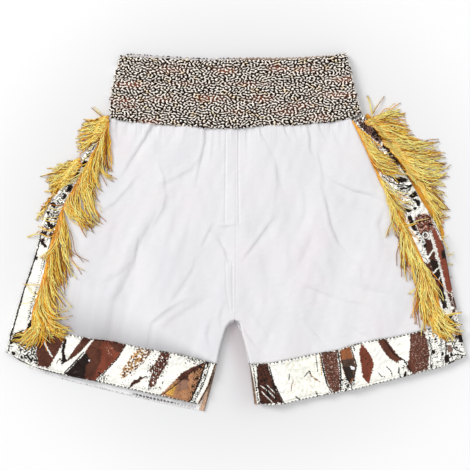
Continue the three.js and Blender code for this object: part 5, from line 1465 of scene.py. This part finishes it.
        [(402, 156), (413, 160), (423, 162), (433, 163), (443, 163)],
        [(405, 160), (414, 164), (424, 167), (434, 168), (445, 169)],
        [(407, 163), (416, 168), (426, 172), (436, 173), (446, 173)],
        [(410, 167), (418, 172), (427, 177), (436, 178), (445, 178)],
        [(413, 172), (420, 177), (428, 181), (436, 182), (444, 182)],
        [(416, 177), (422, 181), (429, 184), (436, 185), (443, 186)]], [
        [(408, 163), (422, 171), (437, 173), (452, 164.5)],
        [(411, 168), (424, 177), (438, 179), (451, 176.5)],
        [(416, 178), (426, 186), (436, 184), (447, 187)],
        [(398, 150), (412, 155), (428, 158), (447, 157)],
        [(414, 174), (424, 183), (434, 186), (446, 185)],
        [(402, 155), (416, 160), (430, 155), (438, 152)],
        [(405, 158), (418, 164), (430, 162), (446, 157)]]),
    "fringe_right_back_3": (62, "out", [
        [(418, 180), (425, 184), (431, 188), (437, 191), (442, 195)],
        [(420, 185), (426, 190), (432, 195), (438, 199), (444, 204)],
        [(423, 189), (428, 195), (434, 200), (440, 205), (446, 209)],
        [(425, 193), (430, 200), (435, 206), (441, 210), (446, 213)],
        [(428, 198), (432, 205), (437, 211), (441, 215), (446, 217)],
        [(431, 203), (434, 210), (437, 216), (440, 220), (441, 225)],
        [(434, 209), (436, 215), (437, 221), (439, 226), (441, 231)]], [
        [(422, 183), (432, 190), (441, 199), (450, 210)],
        [(424, 187), (434, 196), (442, 203), (449, 211)],
        [(421, 182), (429, 188), (438, 196), (446, 201)],
        [(432, 206), (437, 218), (443, 218), (451, 216.5)],
        [(430, 202), (435, 213), (438, 224), (441, 232)]]),
    "fringe_right_back_4": (30, "under", [
        [(439, 262), (441, 267), (444, 272), (446, 277)],
        [(442, 280), (444, 287), (447, 294), (449, 300)],
        [(446, 300), (448, 307), (451, 315), (453, 322)],
        [(449, 318), (452, 326), (455, 333), (457, 340)]], [
        [(441, 262), (445, 262.5), (449, 263.5), (454, 264.5)],
        [(449, 310), (456, 316), (459, 320), (461, 325)]]),
}
# Loose threads that lie across the stripes and stay where they are when the fringe swings.
CAUGHT = {
    "left": (64, [
        [(108, 117), (102, 117), (95, 119)],
        [(109, 121), (102, 122), (94, 124)],
        [(109, 126), (102, 127), (93, 129)],
        [(107, 131), (100, 133), (92, 135)],
        [(104, 135), (97, 138), (90, 141)],
    ], [(62, [
        [(80, 161), (74, 163), (68, 166)],
        [(82, 165), (74, 168), (66, 170)],
        [(79, 169), (72, 172), (64, 174)],
        [(76, 174), (69, 177), (62, 179)],
        [(73, 178), (67, 181), (60, 184)],
        [(66, 184), (62, 187), (57, 189)]])], [
        [(88, 163), (83, 166), (78, 168), (74, 168)],
        [(86, 167), (81, 170), (76, 172)],
        [(84, 171), (79, 175), (73, 178), (68, 178)],
        [(82, 174), (77, 179), (71, 182), (64, 184)],
        [(80, 177), (74, 182), (68, 185), (62, 187)],
        [(76, 184), (73, 190), (70, 196)],
        [(70, 194), (68, 200), (66, 206)],
        [(64, 205), (58, 206), (52, 205), (48, 204)],
        [(63, 208), (57, 210), (51, 208), (47, 206)],
        [(60, 216), (54, 218), (48, 219), (43, 218)],
        [(59, 220), (53, 222), (47, 221), (41, 218)],
        [(58, 225), (52, 230), (46, 230), (39, 226)],
        [(58, 229), (51, 232), (44, 230), (38, 227)],
        [(57, 232), (50, 236), (44, 234), (40, 233)],
        [(56, 236), (48, 237), (42, 234), (36, 234)],
        [(100, 141), (94, 146), (88, 151)],
        [(92, 154), (87, 157), (84, 162)]]),
    "right": (30, [
        [(366, 143), (376, 153), (388, 162)],
        [(370, 152), (379, 160), (392, 166)],
        [(374, 163), (383, 168), (395, 172)],
    ], [], [
        [(386, 190), (393, 195), (401, 201), (409, 205)],
        [(388, 194), (395, 200), (402, 207), (412, 210)],
        [(399, 200), (406, 203), (414, 203)],
        [(391, 200), (398, 206), (404, 210)],
        [(404, 224), (411, 224), (418, 220), (428, 218)],
        [(402, 222), (410, 226), (418, 223)],
        [(394, 190), (402, 196), (411, 199)],
        [(398, 198), (405, 204), (413, 206)],
        [(441, 238), (445, 244), (448, 250)],
        [(440, 236), (445, 237), (449, 235)],
        [(446, 254), (450, 254), (454, 254)],
        [(447, 256), (451, 255), (455, 253)],
        [(443, 243), (447, 246), (450, 251)]]),
}
RINGS, SIDES = 18, 5
OUT_L, OUT_R = line("stripeOutLeft"), line("stripeOutRight")


def outside(X, Y):
    """Millimetres beyond the folded sides (positive outside)."""
    dl = -to_line(X, Y, OUT_L)[1]
    dr = to_line(X, Y, OUT_R)[1]
    if to_line(np.array([0.0]), np.array([0.0]), OUT_L)[1][0] < 0:
        dl = -dl
    if to_line(np.array([0.0]), np.array([0.0]), OUT_R)[1][0] > 0:
        dr = -dr
    return np.where(X < 0, dl, dr)


def ground(X, Y, lie):
    o = outside(X, Y)
    if lie == "under":
        return np.full(X.shape, 0.5)
    top = np.clip(front_z(X, Y), 8.5, 13.0) + 0.5
    if lie == "out":
        return 0.4 + 5.2 * (1 - step(o, -4.0, 9.0)) + np.where(o < -5, np.maximum(top - 5.6, 0) * step(-o, 4, 8), 0)
    return top * (1 - step(o, 0.5, 9.0)) + 0.5 * step(o, 0.5, 9.0)


def strands(seed, lie, count, guides, strays, reach=0.16, thick=1.0, kinky=1.0):
    """Centre lines (count, RINGS, 3) in millimetres and, for each, its layer from 0 (lowest) to 1."""
    r = np.random.default_rng(seed)
    g = np.stack([smooth(G(*p), RINGS, 1) for p in guides])
    t = (np.arange(count) + r.random(count)) / count * (len(g) - 1)
    r.shuffle(t)
    k = np.minimum(t.astype(int), len(g) - 2)
    f = (t - k)[:, None, None]
    P = g[k] * (1 - f) + g[k + 1] * f
    s = np.linspace(0, 1, RINGS)[None, :]
    # each strand ends at its own length, leans a little, and kinks
    P = P[:, :1] + (P - P[:, :1]) * (1 + (r.random((count, 1, 1)) - 0.62) * 2 * reach)
    T = np.gradient(P, axis=1)
    L = np.linalg.norm(T, axis=2).sum(1)
    Nn = np.dstack([-T[..., 1], T[..., 0]]) / np.maximum(np.linalg.norm(T, axis=2)[..., None], 1e-6)
    lean = r.normal(0, 0.10, (count, 1)) * L[:, None] * s ** 1.4
    kink = (r.normal(0, 1.0, (count, 1)) * np.sin(2 * np.pi * (s * (1.0 + r.random((count, 1))) + r.random((count, 1))))
            + 0.55 * r.normal(0, 1.0, (count, 1)) * np.sin(2 * np.pi * (s * (2.6 + 2 * r.random((count, 1))) + r.random((count, 1)))))
    hook = np.where(r.random((count, 1)) < 0.35, r.normal(0, 3.0, (count, 1)), 0) * np.clip(s - 0.72, 0, 1) ** 1.5 * 7
    P = P + Nn * (lean + kink * 1.35 * np.sin(np.pi * np.clip(s * 0.9, 0, 1)) + hook)[..., None] * kinky
    P = P + r.normal(0, 0.7, (count, 1, 2))
    layer = r.random(count)
    if strays:
        e = []
        for p in strays:
            for _ in range(2 if len(strays) < 7 else 1):
                q = smooth(G(*p), RINGS, 1)
                tt = np.gradient(q, axis=0)
                nn = np.c_[-tt[:, 1], tt[:, 0]] / np.maximum(np.linalg.norm(tt, axis=1)[:, None], 1e-6)
                w = r.normal(0, 0.5) * np.sin(2 * np.pi * (s[0] * (1 + r.random()) + r.random())) + r.normal(0, 0.9) * s[0]
                e.append(q + nn * (w * np.sin(np.pi * np.clip(s[0] * 0.8, 0, 1)))[:, None])
        P = np.concatenate([P, np.array(e)])
        layer = np.r_[layer, 0.55 + 0.45 * r.random(len(e))]
    n = len(P)
    base = ground(P[..., 0], P[..., 1], lie)
    ss = np.linspace(0, 1, RINGS)[None, :]
    if lie == "under":
        Z = base + 0.45 + 0.7 * layer[:, None] * np.ones_like(ss)
    else:
        depth = {"front": 4.2, "out": 3.6, "caught": 3.0}[lie] * thick
        arch = 0.25 + 0.75 * np.sin(np.pi * np.clip(ss * 1.05, 0, 1)) ** 0.7
        wob = r.normal(0, 0.35, (n, 1)) * np.sin(2 * np.pi * (ss * 1.7 + r.random((n, 1))))
        Z = base + 0.55 + depth * layer[:, None] * arch + wob * arch
        Z = np.maximum(Z, 0.75)
    return np.dstack([P, Z]), layer, r


def tubes(name, P, layer, r, bright, short=0.0):
    n = len(P)
    T = np.gradient(P, axis=1)
    T /= np.linalg.norm(T, axis=2)[..., None]
    A = np.dstack([-T[..., 1], T[..., 0], np.zeros(T.shape[:2])])
    A /= np.maximum(np.linalg.norm(A, axis=2)[..., None], 1e-6)
    B = np.cross(T, A)
    s = np.linspace(0, 1, RINGS)
    rad = (0.44 + 0.24 * r.random((n, 1))) * (1 - 0.25 * s[None, :] ** 6)
    rad = rad * (1 + 0.12 * np.sin(s[None, :] * 60 + r.random((n, 1)) * 6))
    ang = np.linspace(0, 2 * np.pi, SIDES, endpoint=False)
    V = (P[:, :, None] + rad[:, :, None, None] * (np.cos(ang)[None, None, :, None] * A[:, :, None]
                                                  + np.sin(ang)[None, None, :, None] * B[:, :, None]))
    ends = np.stack([P[:, 0] - T[:, 0] * 0.3, P[:, -1] + T[:, -1] * 0.5], 1)
    per = RINGS * SIDES + 2
    co = np.concatenate([V.reshape(n, -1, 3), ends], 1).reshape(-1, 3)
    i, j = np.meshgrid(np.arange(RINGS - 1), np.arange(SIDES), indexing="ij")
    j2 = (j + 1) % SIDES
    a, b, c, d = i * SIDES + j, i * SIDES + j2, (i + 1) * SIDES + j2, (i + 1) * SIDES + j
    tri = np.concatenate([np.stack([a, b, c], -1).reshape(-1, 3), np.stack([a, c, d], -1).reshape(-1, 3)])
    jj = np.arange(SIDES)
    cap0 = np.stack([np.full(SIDES, RINGS * SIDES), (jj + 1) % SIDES, jj], -1)
    last = (RINGS - 1) * SIDES
    cap1 = np.stack([np.full(SIDES, RINGS * SIDES + 1), last + jj, last + (jj + 1) % SIDES], -1)
    tri = np.concatenate([tri, cap0, cap1])
    faces = (tri[None] + (np.arange(n) * per)[:, None, None]).reshape(-1, 3)
    # colour: deep orange low in the pile, as painted shade, and at the header; pale on top, as painted light; brown at
    # the cut ends
    deep, orange, yellow, pale = srgb(128, 64, 8), srgb(255, 160, 42), srgb(255, 202, 66), srgb(255, 240, 150)
    short = np.broadcast_to(short, n)
    # bright and short lift whole sections and the header strands to paler colours, as painted light
    q = np.clip(0.32 + 0.66 * layer + r.normal(0, 0.24, n) + bright + 0.25 * short, 0, 1)
    # a few strands are made deep orange-brown as painted shade for the gaps between strands
    q = np.where(r.random(n) < 0.11, 0.06 * r.random(n), q)
    st = np.array([0, 0.3, 0.62, 1.0])
    cs = np.stack([np.interp(q, st, np.array([deep, orange, yellow, pale])[:, m]) for m in range(3)], -1)
    C = np.repeat(cs[:, None], RINGS, 1)
    root = np.exp(-(s / 0.16) ** 2)[None, :, None] * (0.35 + 0.4 * r.random((n, 1, 1))) * (1 - short[:, None, None])
    C = C * (1 - root) + srgb(226, 122, 30) * root
    tip = (step(s, 0.88, 1.0)[None, :, None]) * np.clip(r.random((n, 1, 1)) * 1.3 - 0.1, 0, 1)
    tip = tip * (1 - short[:, None, None])
    C = C * (1 - tip) + srgb(84, 56, 24) * tip
    shade = (1 + 0.22 * np.sin(s[None, :] * (9 + 8 * r.random((n, 1))) + 6 * r.random((n, 1))))[..., None]
    C = C * shade
    cv = np.concatenate([np.repeat(C, SIDES, 1).reshape(n, -1, 3), C[:, :1], C[:, -1:]], 1)
    return mesh_from(name, co, faces, cv)


FLAGS = {}


def header(side, n):
    """Strand roots that come out of the folded edge and run into an outer section (guides on the grid)."""
    count, _, guides, _ = FLOW[f"fringe_{side}_back_{n}"]
    out = []
    for g in guides:
        p, q = np.array(g[0], float), np.array(g[1], float)
        d = (q - p) / np.linalg.norm(q - p)
        t = 5.0 if side == "left" else (7.0, 8.8, 11.0, 15.0)[n]
        out.append([tuple(p - d * t), tuple(p - d * t * 0.4), tuple(p + d * 2.5), tuple(p + d * 7.0)])
    return int(count * 1.5), out


for i, (name, (count, lie, guides, strays)) in enumerate(FLOW.items()):
    P, layer, r = strands(100 + i, lie, count, guides, strays)
    # painted light: back sections, and a little the right front, get paler strand colours
    bright = 0.16 if "right_back" in name else (0.12 if "left_back" in name else (0.04 if "right" in name else 0.0))
    o = tubes("strands" + name[6:], P, layer, r, bright)
    put(o, FRINGE, "fringe", name, body=name)
    FLAGS.setdefault(name.split("_")[1], []).append(o)
for i, (side, (count, guides, more, strays)) in enumerate(CAUGHT.items()):
    P, layer, r = strands(200 + i, "front", count, guides, strays, thick=0.7)
    short = np.zeros(0)
    for j, (count, guides) in enumerate(more):
        P2, layer2, r = strands(210 + 10 * i + j, "front", count, guides, [], thick=0.6)
        P, layer = np.concatenate([P, P2]), np.r_[layer, layer2]
    for j in range(3):
        count, guides = header(side, j + 1)
        if side == "left" and j == 2:
            continue
        P2, layer2, r = strands(240 + 10 * i + j, "front", count, guides, [], thick=0.5, kinky=0.3)
        # header strands are coloured paler, with less root tint and tip, as painted light against the fold's shade
        short = np.r_[short, np.zeros(len(P) - len(short)), np.full(count, 0.35)]
        P, layer = np.concatenate([P, P2]), np.r_[layer, layer2]
    o = tubes("strands_caught_" + side, P, layer, r, 0.0, short)
    put(o, FRINGE, "fringe")
    FLAGS[side].append(o)


def ribbon(name, pts, width, z, n=240, sway=0.25, shift=0.0):
    c = smooth(pts, n, 1)
    t = np.gradient(c, axis=0)
    t /= np.linalg.norm(t, axis=1)[:, None]
    nn = np.c_[-t[:, 1], t[:, 0]]
    c = c + nn * (shift(c)[:, None] if callable(shift) else shift)
    m = 7
    w = np.linspace(-0.5, 0.5, m)[None, :, None] * width
    P2 = c[:, None] + nn[:, None] * w
    s = np.linspace(0, 1, n)[:, None]
    zz = z(P2[..., 0], P2[..., 1]) if callable(z) else np.full(P2.shape[:2], float(z))
    zz = zz + sway * np.sin(s * 70) * np.linspace(-1, 1, m)[None, :] + 0.12 * np.cos(np.linspace(-np.pi, np.pi, m))[None, :]
    return np.dstack([P2, zz])


for side in ("left", "right"):
    cap = side.capitalize()
    n0 = 1 if side == "left" else 0
    pts = line("stripeIn" + cap, n0, -2)
    P = ribbon(f"tape_front_{side}", pts, 3.2, lambda X, Y: np.clip(front_z(X, Y), 9.0, 12.5) + 0.35, 260 // N, shift=0.9)
    o = face_up(grid_mesh(f"header_tape_front_{side}", P))
    put(o, TAPE, "header_tape", f"fringe_tape_{side}_front")
    thicken(o, 0.5, 1)
    declare(P, flat=(0.01, real_area(P) / 0.0036))
    P = ribbon(f"tape_back_{side}", line("backTape" + cap), 8.4, 0.75, 260 // N, 0.1, shift=(lambda c: np.full(len(c), -2.8)) if side == "right" else (lambda c: 2.8 + 7.0 * step(-c[:, 1], -66, -48) + 6.5 * np.exp(-((c[:, 1] - 112) / 11) ** 2)))
    o = face_up(grid_mesh(f"header_tape_back_{side}", P))
    put(o, TAPE, "header_tape", f"fringe_tape_{side}_back")
    thicken(o, 0.4, -1)
    declare(P, flat=(0.01, real_area(P) / 0.0086))



# ---------------------------------------------------------------- floor, light, camera
def floor():
    t = np.linspace(-1, 1, 201)
    x = 0.45 * t + 3.5 * t ** 15
    X, Y = np.meshgrid(x * 1000, x * 1000, indexing="ij")
    # painted shade: the floor is darker near the shorts and brighter far out
    far = step(np.hypot(X / 1.05, Y), 190, 430)
    c = np.array([0.95, 0.95, 0.955]) * (1 - far[..., None]) + np.array([1.12, 1.12, 1.12]) * far[..., None]
    # painted shadow: a pinkish grey shade on the floor between the legs, fading down the gap
    d, _, a = to_line(X, Y, G((232, 324), (238, 345), (246, 367), (251, 392)))
    k = np.exp(-(d / (13 + 13 * a)) ** 2) * (1 - 0.55 * a)
    c = c * (1 - 0.72 * k[..., None] * np.array([0.46, 0.56, 0.54]))
    P = np.dstack([X, Y, np.zeros(X.shape)])
    o = face_up(grid_mesh("floor", P, c * 0.80))
    m, nt, bsdf = material("floor", tuple(srgb(240, 240, 242)), 0.9, spec=0.1)
    at = nt.nodes.new("ShaderNodeAttribute")
    at.attribute_name = "Tint"
    v = coords(nt)
    n = node(nt, "ShaderNodeTexNoise", Scale=3.0, Detail=2.0)
    nt.links.new(v, n.inputs["Vector"])
    r = ramp(nt, n.outputs["Fac"], [(0.3, (0.99,) * 3), (0.7, (1.0,) * 3)])
    nt.links.new(mix(nt, 1.0, at.outputs["Color"], r.outputs["Color"], "MULTIPLY"), bsdf.inputs["Base Color"])
    o.data.materials.append(m)
    return o


floor()


def light(name, loc, aim, size, energy, colour=(1, 1, 1)):
    d = bpy.data.lights.new(name, "AREA")
    d.shape = "RECTANGLE"
    d.size, d.size_y = size
    d.energy = energy
    d.color = colour
    o = bpy.data.objects.new(name, d)
    o.location = loc
    o.rotation_mode = "QUATERNION"
    o.rotation_quaternion = (Vector(aim) - Vector(loc)).to_track_quat("-Z", "Y")
    bpy.context.scene.collection.objects.link(o)
    return o


def sun(name, toward, energy, spread):
    d = bpy.data.lights.new(name, "SUN")
    d.energy = energy
    d.angle = math.radians(spread)
    o = bpy.data.objects.new(name, d)
    o.rotation_mode = "QUATERNION"
    o.rotation_quaternion = Vector(toward).to_track_quat("-Z", "Y")
    bpy.context.scene.collection.objects.link(o)
    return o


sun("key", (0.80, -0.62, -0.62), 1.5, 24)
light("fill", (-1.2, 1.2, 1.5), (-0.2, 0.15, 0), (1.2, 1.2), 5)

world = bpy.data.worlds.new("studio")
bpy.context.scene.world = world
world.use_nodes = True
wn = world.node_tree
bg = wn.nodes["Background"]
tc = wn.nodes.new("ShaderNodeTexCoord")
sep = wn.nodes.new("ShaderNodeSeparateXYZ")
wn.links.new(tc.outputs["Generated"], sep.inputs[0])
wr = wn.nodes.new("ShaderNodeValToRGB")
for i, (p, c) in enumerate([(0.0, 0.45), (0.5, 0.66), (0.86, 0.98), (1.0, 1.2)]):
    e = wr.color_ramp.elements[i] if i < 2 else wr.color_ramp.elements.new(p)
    e.position = p
    e.color = (c, c, c * 1.01, 1)
wn.links.new(sep.outputs["Z"], wr.inputs[0])
wn.links.new(wr.outputs[0], bg.inputs["Color"])
bg.inputs["Strength"].default_value = 0.96

scene = bpy.context.scene
scene.view_settings.view_transform = "Standard"
scene.view_settings.look = "None"
scene.view_settings.exposure = 0.0

cam_data = bpy.data.cameras.new("camera")
cam_data.lens = 70
cam_data.sensor_width = 36
cam = bpy.data.objects.new("camera", cam_data)
width = 470 * U * 0.001
dist = width * cam_data.lens / cam_data.sensor_width
(cx, cy), = G((235, 235))
cam.location = (cx * 0.001, cy * 0.001, 0.009 + dist)
cam.rotation_euler = (0, 0, 0)
cam_data.clip_start, cam_data.clip_end = 0.05, 20
scene.collection.objects.link(cam)
scene.camera = cam

bpy.context.view_layer.update()
